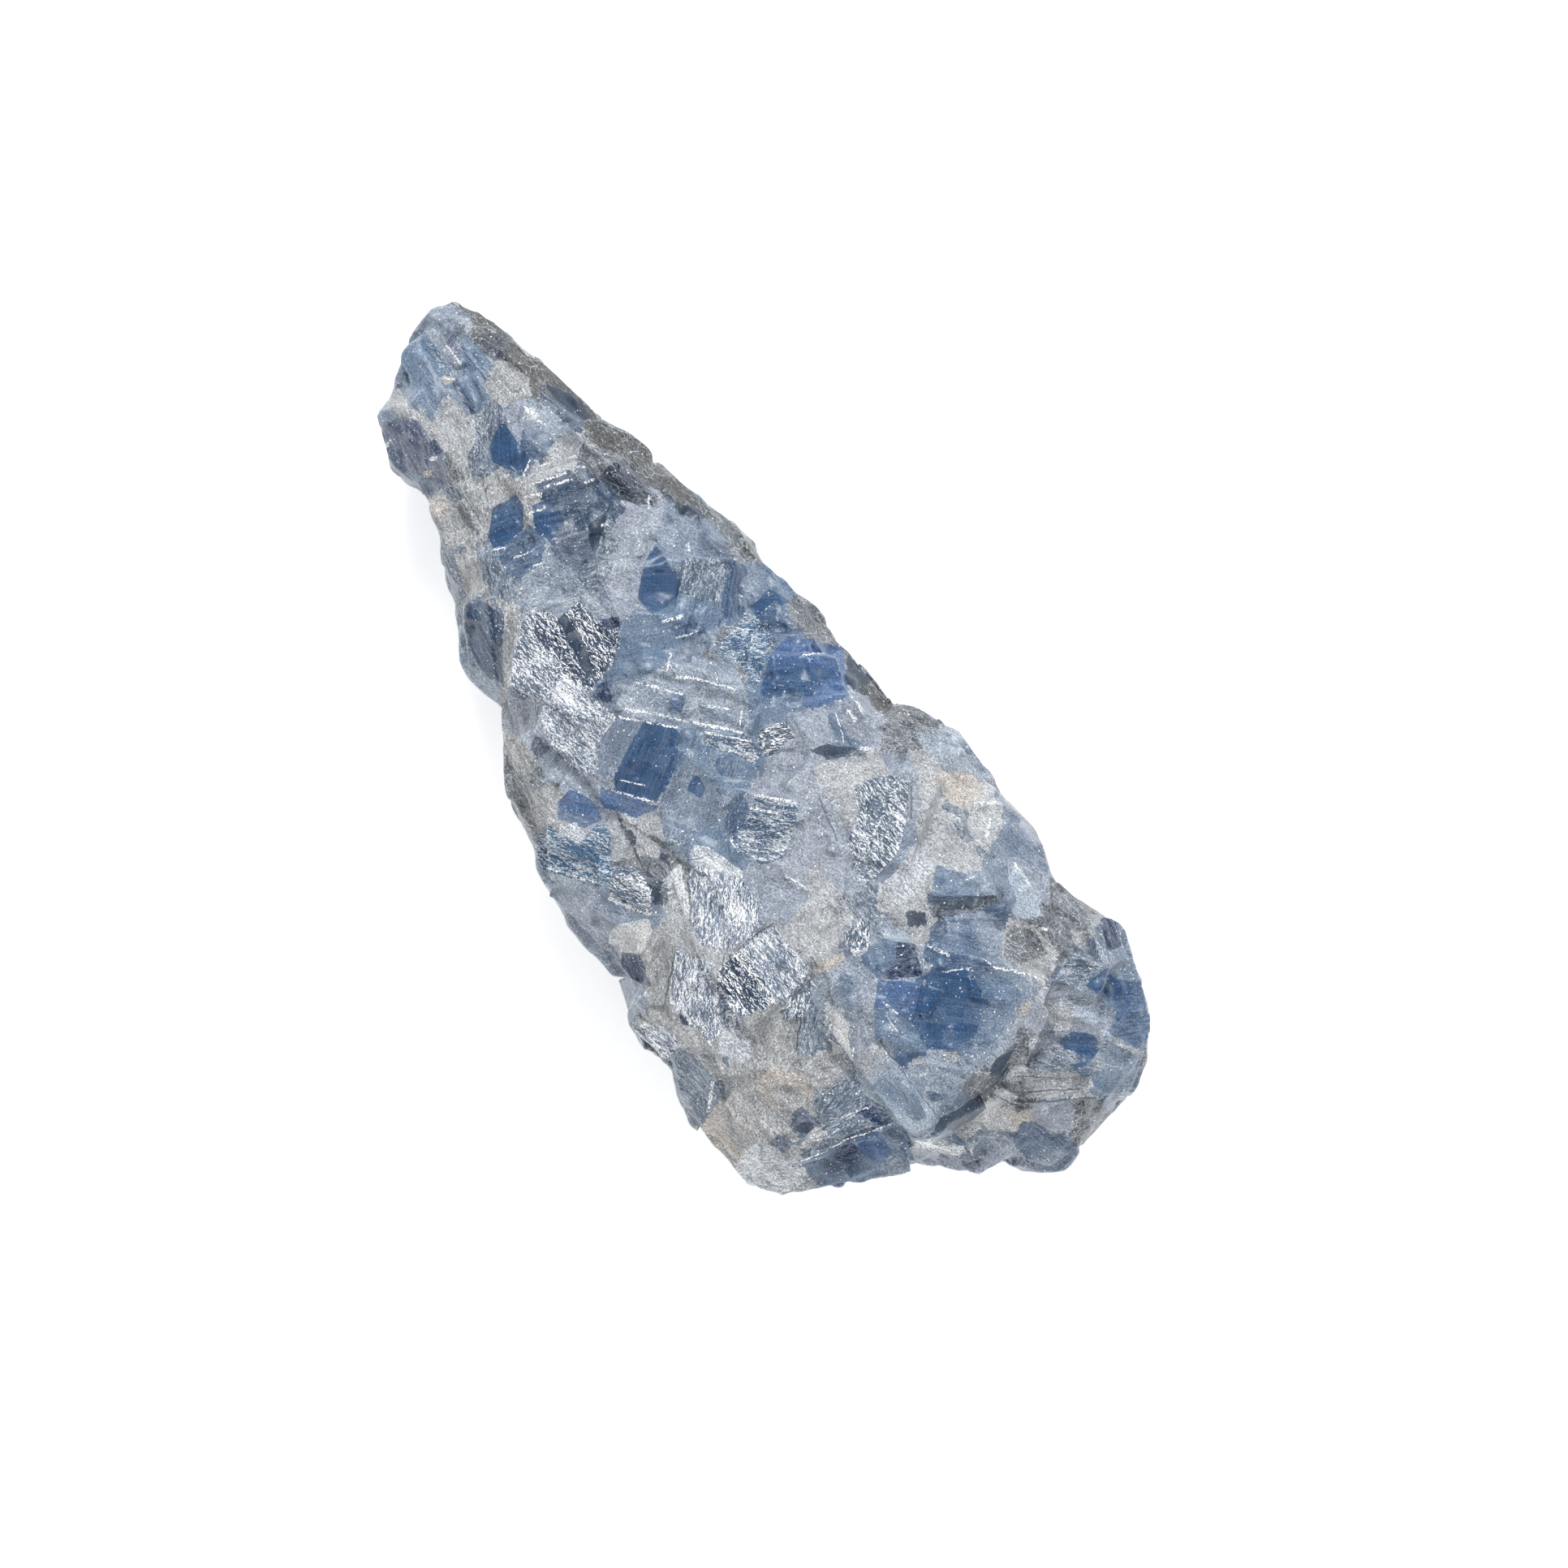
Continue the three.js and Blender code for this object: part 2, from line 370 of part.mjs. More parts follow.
// Crystals along the rim. Their outer faces lean in and out by turns and reach the outline.
function rim() {
  const SPACING = 4.6;
  const random = seeded(23);
  const spread = (amount) => (random() - 0.5) * amount;
  const path = new THREE.CurvePath();
  EDGE.forEach(([x, y], i) => {
    const [nextX, nextY] = EDGE[(i + 1) % EDGE.length];
    path.add(new THREE.LineCurve(new THREE.Vector2(x, y), new THREE.Vector2(nextX, nextY)));
  });
  const count = Math.round(path.getLength() / SPACING);
  return Array.from({ length: count }, (_, i) => {
    const place = path.getPointAt(i / count);
    const tangent = path.getPointAt((i + 0.5) / count).sub(place).normalize();
    const lean = THREE.MathUtils.degToRad((i % 2 ? 14 : -14) + spread(22));
    const normal = new THREE.Vector3(tangent.y, -tangent.x, Math.tan(lean)).normalize();
    const height = 6 + 3 * random();
    const outward = 0.4 - (height / 2) * Math.abs(Math.sin(lean));
    return {
      at: new THREE.Vector3(
        place.x + tangent.y * outward,
        place.y - tangent.x * outward,
        along(GIRTH, place.x) + 1 + spread(5),
      ),
      normal,
      turn: THREE.MathUtils.radToDeg(Math.atan2(tangent.y, tangent.x)),
      spin: spread(30),
      length: 5 + 2.5 * random(),
      width: height,
      depth: 4,
      hand: i % 2 ? 1 : -1,
    };
  });
}

// Crystals of the back, strewn at random in rows round it from side to side.
function strewn() {
  const STATIONS = 11;
  const ROWS = 7;
  const random = seeded(41);
  const spread = (amount) => (random() - 0.5) * amount;
  const blocks = [];
  for (let i = 0; i < STATIONS; i++) {
    for (let j = 0; j < ROWS; j++) {
      const x = THREE.MathUtils.lerp(-HALF.x + 3, HALF.x - 3, i / (STATIONS - 1)) + spread(2);
      const degrees = THREE.MathUtils.lerp(194, 346, j / (ROWS - 1)) + spread(8);
      const angle = THREE.MathUtils.degToRad(degrees);
      const normal = envelopeNormal(x, angle);
      normal.add(new THREE.Vector3(spread(0.4), spread(0.4), spread(0.4))).normalize();
      const length = 6 + 4 * random();
      blocks.push({
        at: envelope(x, angle, 0.6).addScaledVector(normal, 0.4 * random()),
        normal,
        turn: 0,
        spin: random() * 180,
        length,
        width: length * (0.65 + 0.3 * random()),
        depth: 5,
        hand: random() < 0.5 ? -1 : 1,
      });
    }
  }
  return blocks;
}

function specimen() {
  const down = new THREE.Vector3(0, 0, -1);
  const feet = FEET.map(([x, y, length, width, turn]) => ({
    at: new THREE.Vector3(x, y, 0),
    normal: down,
    turn,
    length,
    width,
  }));
  const shown = CRYSTALS.map((crystal, i) => ({ hand: i % 2 ? 1 : -1, ...placed(crystal) }));
  shown.sort((a, b) => a.rise - b.rise);
  const lump = [...strewn(), ...rim(), ...shown, ...feet].reduce(grow, core());
  const notches = NOTCHES.map((notch) => rhomb(placed(notch)));
  return lump.subtract(wasm.Manifold.union(notches)).intersect(outline());
}

// Drops the corners that joining leaves in the middle of a flat face or a straight edge: each
// slides onto a neighbour that lies in all the faces around it.
function dropSpareCorners(corners, faces) {
  const FLAT = 0.005;
  const around = corners.map(() => new Set());
  for (const face of faces) {
    face.forEach((corner) => around[corner].add(face));
  }
  const planeOf = (face) => new THREE.Plane().setFromCoplanarPoints(...face.map((c) => corners[c]));
  const neighbours = (corner) => new Set([...around[corner]].flat().filter((c) => c !== corner));
  const slides = (corner, onto) => {
    const near = neighbours(onto);
    if ([...neighbours(corner)].filter((c) => near.has(c)).length !== 2) {
      return false;
    }
    return [...around[corner]].every((face) => {
      if (face.includes(onto)) {
        return true;
      }
      const before = planeOf(face);
      const after = planeOf(face.map((c) => (c === corner ? onto : c)));
      const off = Math.abs(before.distanceToPoint(corners[onto]));
      return off < FLAT && before.normal.dot(after.normal) > 0.99;
    });
  };
  let dropped = true;
  while (dropped) {
    dropped = false;
    for (let corner = 0; corner < corners.length; corner++) {
      const onto = [...neighbours(corner)].find((c) => slides(corner, c));
      if (onto === undefined) {
        continue;
      }
      for (const face of around[corner]) {
        if (face.includes(onto)) {
          face.filter((c) => c !== corner).forEach((c) => around[c].delete(face));
        } else {
          face[face.indexOf(corner)] = onto;
          around[onto].add(face);
        }
      }
      around[corner].clear();
      dropped = true;
    }
  }
  return around;
}

// The faces of the largest closed skin: loose chips, and pockets sealed between crystals, are
// left out. around holds the faces at each corner.
function outerSkin(around) {
  const seen = new Set();
  let outer = [];
  for (const start of around.flatMap((at) => [...at])) {
    const skin = [];
    const queue = [start];
    while (queue.length > 0) {
      const face = queue.pop();
      if (!seen.has(face)) {
        seen.add(face);
        skin.push(face);
        face.forEach((corner) => queue.push(...around[corner]));
      }
    }
    outer = skin.length > outer.length ? skin : outer;
  }
  return outer;
}

// A joined solid as a three.js mesh with flat faces.
function meshOf(name, solid, material) {
  const { vertProperties, triVerts } = solid.getMesh();
  const corners = [];
  for (let i = 0; i < vertProperties.length; i += 3) {
    corners.push(new THREE.Vector3().fromArray(vertProperties, i));
  }
  const faces = [];
  for (let i = 0; i < triVerts.length; i += 3) {
    faces.push([...triVerts.slice(i, i + 3)]);
  }
  const skin = outerSkin(dropSpareCorners(corners, faces));
  const geometry = new THREE.BufferGeometry().setFromPoints(skin.flat().map((c) => corners[c]));
  geometry.computeVertexNormals();
  const mesh = new THREE.Mesh(geometry, material);
  mesh.name = name;
  return mesh;
}

const calcite = new THREE.MeshStandardMaterial({
  color: 0x8b9bb0,
  roughness: 0.32,
  metalness: 0,
  flatShading: true,
});

const specimenGroup = new THREE.Group();
specimenGroup.add(meshOf("blue_calcite", specimen(), calcite));

export default specimenGroup;
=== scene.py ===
# %% [markdown]
# # Blue calcite
# A rough lump of blue calcite: coarse crystals grown together and broken along their cleavage.
# Calcite splits along three planes, so every face is flat, and steps, ledges and pits run
# parallel to its edges. The solid model gives the crystals. This lesson adds what is finer: the
# cleavage steps, the milky and blue glow of the stone, and its shine.

# %% Load the solid model
import math

import bmesh
import bpy
import numpy as np
from mathutils import Matrix, Vector, noise
from mathutils.bvhtree import BVHTree
from mathutils.kdtree import KDTree


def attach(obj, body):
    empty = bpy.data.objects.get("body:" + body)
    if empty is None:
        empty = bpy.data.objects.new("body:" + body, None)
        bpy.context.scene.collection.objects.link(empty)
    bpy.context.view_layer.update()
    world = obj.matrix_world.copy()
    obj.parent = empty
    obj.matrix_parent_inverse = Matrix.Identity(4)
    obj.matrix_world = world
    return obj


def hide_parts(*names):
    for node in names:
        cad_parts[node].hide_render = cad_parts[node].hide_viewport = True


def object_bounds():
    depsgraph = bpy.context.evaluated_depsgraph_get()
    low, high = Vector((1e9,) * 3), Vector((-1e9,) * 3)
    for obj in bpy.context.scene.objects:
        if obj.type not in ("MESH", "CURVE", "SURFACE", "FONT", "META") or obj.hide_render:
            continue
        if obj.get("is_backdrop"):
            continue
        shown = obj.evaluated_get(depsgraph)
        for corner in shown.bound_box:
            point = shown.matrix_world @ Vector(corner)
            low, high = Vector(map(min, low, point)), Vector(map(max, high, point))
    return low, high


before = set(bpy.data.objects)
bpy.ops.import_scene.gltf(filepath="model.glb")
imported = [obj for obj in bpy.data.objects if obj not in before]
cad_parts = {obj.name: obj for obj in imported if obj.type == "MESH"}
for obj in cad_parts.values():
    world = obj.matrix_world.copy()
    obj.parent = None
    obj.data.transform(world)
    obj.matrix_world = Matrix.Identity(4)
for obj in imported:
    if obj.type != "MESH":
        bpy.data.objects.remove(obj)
cad_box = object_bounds()
MM = 0.001
scene = bpy.context.scene
print("solid model:", [tuple(round(c / MM, 1) for c in corner) for corner in cad_box])

# %% [markdown]
# ## The camera
# The specimen lies on a table and is seen from straight above, so the camera looks down and is
# only turned about its own axis. A long lens keeps the near crystals from looking too large.

# %% Camera
LENS = 200.0  # mm
SENSOR = 36.0  # mm
VIEW_WIDTH = 117.68 * MM  # what the view spans at the widest line of the lump
GIRTH_LEVEL = 9 * MM
VIEW_MIDDLE = Vector((4.33 * MM, 3.87 * MM, GIRTH_LEVEL))
VIEW_UP = Vector((-0.788, 0.616, 0)).normalized()

camera_data = bpy.data.cameras.new("camera")
camera_data.lens = LENS
camera_data.sensor_width = SENSOR
camera_data.clip_start = 0.01
camera = bpy.data.objects.new("camera", camera_data)
scene.collection.objects.link(camera)
camera_distance = VIEW_WIDTH * LENS / SENSOR
right = VIEW_UP.cross(Vector((0, 0, 1)))
turn = Matrix((right, VIEW_UP, (0, 0, 1))).transposed().to_4x4()
camera.matrix_world = Matrix.Translation(VIEW_MIDDLE + Vector((0, 0, camera_distance))) @ turn
scene.camera = camera
print("camera height:", round(camera.location.z / MM), "mm")

# %% [markdown]
# ## Finding the flat faces
# The solid comes as loose triangles. Triangles that share an edge and lie in one plane belong to
# one crystal face. Everything later works face by face, so this helper numbers the faces. It
# lets the lowest number spread over each flat face until nothing changes.

# %% Helpers for flat faces
FLAT = math.cos(math.radians(0.6))
SLIVER = 1e-11  # square metres


def triangles_of(mesh):
    """Corners of the triangles (n, 3), their points (n, 3, 3), unit normals (n, 3) and areas (n)."""
    points = np.empty(len(mesh.vertices) * 3)
    mesh.vertices.foreach_get("co", points)
    points = points.reshape(-1, 3)
    corners = np.empty(len(mesh.loops), dtype=np.int64)
    mesh.loops.foreach_get("vertex_index", corners)
    corners = corners.reshape(-1, 3)
    where = points[corners]
    normals = np.cross(where[:, 1] - where[:, 0], where[:, 2] - where[:, 0])
    areas = np.linalg.norm(normals, axis=1)
    return corners, where, normals / np.maximum(areas, 1e-18)[:, None], areas / 2


def flat_faces(corners, normals, areas):
    """A face number for every triangle, and the mesh edges between two different faces."""
    count = len(corners)
    edges = np.sort(np.concatenate([corners[:, [0, 1]], corners[:, [1, 2]], corners[:, [2, 0]]]), axis=1)
    owner = np.tile(np.arange(count), 3)
    order = np.lexsort((edges[:, 1], edges[:, 0]))
    edges, owner = edges[order], owner[order]
    twin = np.nonzero((edges[1:] == edges[:-1]).all(axis=1))[0]
    a, b = owner[twin], owner[twin + 1]
    sliver = (areas[a] < SLIVER) | (areas[b] < SLIVER)
    level = ((normals[a] * normals[b]).sum(axis=1) > FLAT) | sliver
    label = np.arange(count)
    while True:
        lowest = np.minimum(label[a[level]], label[b[level]])
        spread = label.copy()
        np.minimum.at(spread, a[level], lowest)
        np.minimum.at(spread, b[level], lowest)
        spread = spread[spread]
        if (spread == label).all():
            break
        label = spread
    _, label = np.unique(label, return_inverse=True)
    border = label[a] != label[b]
    return label, edges[twin][border], a[border], b[border]


def longest_edges(points, label, border, a, b):
    """For each face, the direction of its longest border edge."""
    span = points[border[:, 1]] - points[border[:, 0]]
    length = np.linalg.norm(span, axis=1)
    order = np.argsort(length)
    along = np.zeros((label.max() + 1, 3))
    along[:, 0] = 1
    unit = span / np.maximum(length, 1e-12)[:, None]
    for side in (a, b):
        longest = np.zeros(len(along))
        for i in order[::-1]:
            face = label[side[i]]
            if longest[face] == 0:
                longest[face] = length[i]
                along[face] = unit[i]
    return along


def put(mesh, name, kind, domain, values):
    """Stores values on the mesh as a named attribute."""
    attribute = mesh.attributes.new(name, kind, domain)
    key = {"FLOAT": "value", "FLOAT_VECTOR": "vector", "FLOAT_COLOR": "color"}[kind]
    attribute.data.foreach_set(key, np.ascontiguousarray(values, dtype=np.float32).ravel())


# %% [markdown]
# ## A copy to work on
# The solid's own mesh stays as it is. The copy is merged into one closed skin, and each face
# learns the heading of its longest edge, because cleavage steps run that way.

# %% The lump
lump_mesh = bpy.data.meshes.new("calcite_lump")
shell = bmesh.new()
shell.from_mesh(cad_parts["blue_calcite"].data)
bmesh.ops.remove_doubles(shell, verts=shell.verts, dist=1e-6)
shell.to_mesh(lump_mesh)
shell.free()
for spare in [a.name for a in lump_mesh.attributes if not a.is_required and not a.is_internal]:
    lump_mesh.attributes.remove(lump_mesh.attributes[spare])
lump = bpy.data.objects.new("calcite_lump", lump_mesh)
scene.collection.objects.link(lump)

corners, where, normals, areas = triangles_of(lump_mesh)
points = np.array([v.co for v in lump_mesh.vertices])
label, border, a, b = flat_faces(corners, normals, areas)
along = longest_edges(points, label, border, a, b)
put(lump_mesh, "along", "FLOAT_VECTOR", "FACE", along[label])
lump_tree = BVHTree.FromPolygons(points.tolist(), corners.tolist())
print("flat faces on the solid:", label.max() + 1)

# %% [markdown]
# Steps are plentiful on faces that look up, few on the sides, and none on the resting face.

# %% How many steps a face gets
FEWEST = 0.12
REST_LEVEL = 0.4 * MM
middle = where.mean(axis=1)
open_side = np.clip((normals[:, 2] - 0.1) / 0.4, FEWEST, 1) * (middle[:, 2] > REST_LEVEL)
put(lump_mesh, "busy", "FLOAT", "FACE", open_side)
print("triangles with all their steps:", int((open_side == 1).sum()))

# %% [markdown]
# ## Cleavage steps
# Each crystal face carries thin plates and shallow pits where a layer has come away. They are
# small leaning blocks, all alike but for their size, so Geometry Nodes strew them: points over
# the faces, one block at each point, turned to its face. A first join adds the plates and a
# second cuts the pits. Joined for real, they make true edges, which catch the light.

# %% One small leaning block
CLEAVAGE_ANGLE = math.radians(101.9)
lean = math.cos(CLEAVAGE_ANGLE)
chip_mesh = bpy.data.meshes.new("chip")
chip_points = [
    Vector((x + lean * y + 0.35 * lean * z, y, z))
    for z in (-0.5, 0.5)
    for y in (-0.5, 0.5)
    for x in (-0.5, 0.5)
]
chip_faces = [(0, 2, 3, 1), (4, 5, 7, 6), (0, 1, 5, 4), (2, 6, 7, 3), (0, 4, 6, 2), (1, 3, 7, 5)]
chip_mesh.from_pydata(chip_points, [], chip_faces)
chip = bpy.data.objects.new("chip", chip_mesh)
scene.collection.objects.link(chip)

# %% Geometry Nodes: a tree and its helpers
tree = bpy.data.node_groups.new("cleavage steps", "GeometryNodeTree")


def node(kind, x=0, y=0, **settings):
    """A new node in the tree, at a place in the editor, with its settings."""
    made = tree.nodes.new(kind)
    made.location = (x, y)
    for name, value in settings.items():
        setattr(made, name, value)
    return made


def link(start, end):
    """Joins an output to an input."""
    tree.links.new(start, end)


def tree_input(name, kind, value=None):
    """A named input of the tree."""
    made = tree.interface.new_socket(name, in_out="INPUT", socket_type=kind)
    if value is not None:
        made.default_value = value
    return made


# %% Inputs of the tree
tree.interface.new_socket("Geometry", in_out="OUTPUT", socket_type="NodeSocketGeometry")
tree_input("Geometry", "NodeSocketGeometry")
sockets = {
    "Block": tree_input("Block", "NodeSocketObject"),
    "Plates per m2": tree_input("Plates per m2", "NodeSocketFloat", 220000.0),
    "Pits per m2": tree_input("Pits per m2", "NodeSocketFloat", 220000.0),
    "Smallest": tree_input("Smallest", "NodeSocketVector", (0.6 * MM, 0.4 * MM, 0.15 * MM)),
    "Largest": tree_input("Largest", "NodeSocketVector", (3.2 * MM, 1.3 * MM, 0.55 * MM)),
    "Seed": tree_input("Seed", "NodeSocketInt", 5),
    "Material": tree_input("Material", "NodeSocketMaterial"),
}
given = node("NodeGroupInput", -1000, 0)
block = node("GeometryNodeObjectInfo", -800, 300)
along_edge = node("GeometryNodeInputNamedAttribute", -800, -300, data_type="FLOAT_VECTOR")
along_edge.inputs["Name"].default_value = "along"
busy = node("GeometryNodeInputNamedAttribute", -1000, -300, data_type="FLOAT")
busy.inputs["Name"].default_value = "busy"
link(given.outputs["Block"], block.inputs["Object"])
print("inputs:", ", ".join(sockets))

# %% Blocks strewn over the faces
MOSTLY_SMALL = (2.2, 2.0, 1.6)  # powers of a random number from 0 to 1


def strewn(density, seed_offset, y):
    """Blocks at random points of the lump, each turned to its face and along its edge."""
    dense = node("ShaderNodeMath", -700, y, operation="MULTIPLY")
    seed = node("ShaderNodeMath", -700, y - 150, operation="ADD")
    spots = node("GeometryNodeDistributePointsOnFaces", -500, y)
    upright = node("FunctionNodeAlignRotationToVector", -300, y - 100, axis="Z")
    turned = node("FunctionNodeAlignRotationToVector", -120, y - 100, axis="X", pivot_axis="Z")
    chance = node("FunctionNodeRandomValue", -500, y - 250, data_type="FLOAT_VECTOR")
    skewed = node("ShaderNodeVectorMath", -300, y - 300, operation="POWER")
    size = node("ShaderNodeMix", -120, y - 300, data_type="VECTOR", factor_mode="NON_UNIFORM")
    placed = node("GeometryNodeInstanceOnPoints", 80, y)
    skewed.inputs[1].default_value = MOSTLY_SMALL
    vector_in = {s.name: s for s in size.inputs if s.enabled}
    vector_out = next(s for s in size.outputs if s.enabled)
    link(given.outputs[density], dense.inputs[0])
    link(next(s for s in busy.outputs if s.enabled), dense.inputs[1])
    link(given.outputs["Seed"], seed.inputs[0])
    seed.inputs[1].default_value = seed_offset
    link(given.outputs["Geometry"], spots.inputs["Mesh"])
    link(dense.outputs[0], spots.inputs["Density"])
    link(seed.outputs[0], spots.inputs["Seed"])
    link(spots.outputs["Normal"], upright.inputs["Vector"])
    link(upright.outputs["Rotation"], turned.inputs["Rotation"])
    link(next(s for s in along_edge.outputs if s.enabled), turned.inputs["Vector"])
    link(seed.outputs[0], next(s for s in chance.inputs if s.name == "Seed"))
    link(next(s for s in chance.outputs if s.enabled), skewed.inputs[0])
    link(skewed.outputs[0], vector_in["Factor"])
    link(given.outputs["Smallest"], vector_in["A"])
    link(given.outputs["Largest"], vector_in["B"])
    link(spots.outputs["Points"], placed.inputs["Points"])
    link(block.outputs["Geometry"], placed.inputs["Instance"])
    link(turned.outputs["Rotation"], placed.inputs["Rotation"])
    link(vector_out, placed.inputs["Scale"])
    return placed.outputs["Instances"]


# %% Plates joined on, pits cut out
plates = strewn("Plates per m2", 0, 400)
pits = strewn("Pits per m2", 100, -500)
joined = node("GeometryNodeMeshBoolean", 300, 200, operation="UNION", solver="MANIFOLD")
carved = node("GeometryNodeMeshBoolean", 500, 0, operation="DIFFERENCE", solver="MANIFOLD")
real = node("GeometryNodeRealizeInstances", 700, 0)
finish = node("GeometryNodeSetMaterial", 900, 0)
result = node("NodeGroupOutput", 1100, 0)
link(plates, joined.inputs["Mesh 2"])
link(given.outputs["Geometry"], joined.inputs["Mesh 2"])
link(joined.outputs["Mesh"], carved.inputs["Mesh 1"])
link(pits, carved.inputs["Mesh 2"])
link(carved.outputs["Mesh"], real.inputs["Geometry"])
link(real.outputs["Geometry"], finish.inputs["Geometry"])
link(given.outputs["Material"], finish.inputs["Material"])
link(finish.outputs["Geometry"], result.inputs["Geometry"])
print("nodes in the tree:", len(tree.nodes))

# %% Run the tree and keep its result as a mesh
calcite = bpy.data.materials.new("blue calcite")
steps = lump.modifiers.new("steps", "NODES")
steps.node_group = tree
steps[sockets["Block"].identifier] = chip
steps[sockets["Material"].identifier] = calcite
stepped = lump.evaluated_get(bpy.context.evaluated_depsgraph_get())
specimen_mesh = bpy.data.meshes.new_from_object(stepped)
specimen_mesh.name = "calcite_specimen"
specimen = bpy.data.objects.new("calcite_specimen", specimen_mesh)
scene.collection.objects.link(specimen)
bpy.data.objects.remove(lump)
bpy.data.objects.remove(chip)
print("after the steps:", len(specimen_mesh.polygons), "faces")

# %% [markdown]
# ## Milky crystal in the gaps
# Between the grown blocks run deep gaps. In the stone they are filled nearly to the top with
# milky crystal. Seen as a map of heights, a gap goes away when every place first takes the
# highest value within reach and then the lowest one: what is narrower than the reach is bridged.
# The filling is a thin slab that follows this bridge, a little below the crystals' own faces.

# %% Map of heights
CELL = 0.25 * MM
REACH = 8  # cells
GAP_DEPTH = 0.45 * MM


def extreme(grid, reach, pick):
    """The highest or lowest value within reach of each cell, in a round neighbourhood."""
    padded = np.pad(grid, reach, mode="edge")
    result = grid
    for i in range(-reach, reach + 1):
        for j in range(-reach, reach + 1):
            if i * i + j * j <= reach * reach + 1:
                shifted = padded[reach + i:reach + i + grid.shape[0], reach + j:reach + j + grid.shape[1]]
                result = pick(result, shifted)
    return result


def search_tree(mesh):
    """The mesh as a tree for rays and nearest points."""
    return BVHTree.FromPolygons([v.co for v in mesh.vertices], [p.vertices for p in mesh.polygons])


stepped_tree = search_tree(specimen_mesh)
map_corner = np.array(cad_box[0])[:2] - 3 * MM
cells_x, cells_y = np.ceil((np.array(cad_box[1])[:2] + 3 * MM - map_corner) / CELL).astype(int)
heights = np.zeros((cells_x, cells_y))
for i in range(cells_x):
    for j in range(cells_y):
        start = Vector((map_corner[0] + i * CELL, map_corner[1] + j * CELL, 0.05))
        hit = stepped_tree.ray_cast(start, Vector((0, 0, -1)))[0]
        heights[i, j] = hit.z if hit is not None else 0
bridge = extreme(extreme(heights, REACH, np.maximum), REACH, np.minimum)
bridge = extreme(bridge, 1, np.minimum)
print("cells that a bridge lifts:", int((bridge > heights + GAP_DEPTH).sum()), "of", int((heights > 0).sum()))

# %% The filling
SLAB_DEPTH = 0.8 * MM  # below the lowest face near by
SLAB_FLOOR = 0.3 * MM
THINNEST = 0.2 * MM
RIM = 5  # cells between the slab and the outline of the lump
top = bridge - GAP_DEPTH
bottom = np.maximum(extreme(heights, 1, np.minimum) - SLAB_DEPTH, SLAB_FLOOR)
inner = (extreme((heights > 1 * MM).astype(float), RIM, np.minimum) > 0) & (top > bottom + THINNEST)
number = np.cumsum(inner.ravel()).reshape(inner.shape) - 1
ij = np.argwhere(inner)
flat = map_corner + ij * CELL
filling_points = np.concatenate([np.column_stack([flat, level[inner]]) for level in (top, bottom)])
whole = inner[:-1, :-1] & inner[1:, :-1] & inner[:-1, 1:] & inner[1:, 1:]
i, j = np.nonzero(whole)
ring = np.stack([number[i, j], number[i + 1, j], number[i + 1, j + 1], number[i, j + 1]], axis=1)
sides = np.concatenate([ring[:, [k, (k + 1) % 4]] for k in range(4)])
forward = {tuple(s) for s in sides.tolist()}
open_sides = np.array([s for s in sides.tolist() if (s[1], s[0]) not in forward])
under = len(ij)
first, second = open_sides.T
walls = np.column_stack([second, first, first + under, second + under])
filling_faces = np.concatenate([ring, ring[:, ::-1] + under, walls])
filling_mesh = bpy.data.meshes.new("filling")
filling_mesh.from_pydata(filling_points.tolist(), [], filling_faces.tolist())
print("filling:", len(filling_points), "points")

# %% The filling joins the crystals
filled_shell = bmesh.new()
filled_shell.from_mesh(specimen_mesh)
filled_shell.from_mesh(filling_mesh)
filled_shell.to_mesh(specimen_mesh)
filled_shell.free()
print("with the filling:", len(specimen_mesh.polygons), "faces")

# %% [markdown]
# ## An even skin
# The joins leave many-sided faces, with long thin slivers between them. A voxel remesh lays an
# even net over the same shape, fine enough to carry colours and relief. The underside needs less,
# so it is thinned, and the upper side keeps every point.

# %% Even skin
VOXEL = 0.245 * MM


def as_mesh(piece):
    """The piece with its modifiers, as a plain mesh."""
    return bpy.data.meshes.new_from_object(piece.evaluated_get(bpy.context.evaluated_depsgraph_get()))


even = specimen.modifiers.new("even skin", "REMESH")
even.mode = "VOXEL"
even.voxel_size = VOXEL
specimen_mesh = as_mesh(specimen)
specimen.modifiers.remove(even)
specimen.data = specimen_mesh
print("even skin:", len(specimen_mesh.polygons), "faces")

# %% [markdown]
# The remesh also keeps hollows that are shut in and crumbs that touch nothing. Each is an island
# of points joined by edges. Only the largest island, the skin of the lump itself, stays.

# %% Only the largest island stays


def islands(verts):
    """The number of the island that each point lies on, and how many points each island has."""
    island = np.full(len(verts), -1)
    sizes = []
    for seed in verts:
        if island[seed.index] >= 0:
            continue
        island[seed.index] = len(sizes)
        stack, size = [seed], 0
        while stack:
            vertex = stack.pop()
            size += 1
            for edge in vertex.link_edges:
                other = edge.other_vert(vertex)
                if island[other.index] < 0:
                    island[other.index] = len(sizes)
                    stack.append(other)
        sizes.append(size)
    return island, sizes


shell = bmesh.new()
shell.from_mesh(specimen_mesh)
shell.verts.ensure_lookup_table()
island, sizes = islands(shell.verts)
loose = [v for v in shell.verts if island[v.index] != int(np.argmax(sizes))]
bmesh.ops.delete(shell, geom=loose, context="VERTS")
shell.to_mesh(specimen_mesh)
shell.free()
print("islands:", len(sizes), "points in the small ones:", len(loose))

# %% [markdown]
# A point is hidden when it looks sideways or down, or when something lies above it. There the
# skin is thinned until the whole stays under its number of triangles.

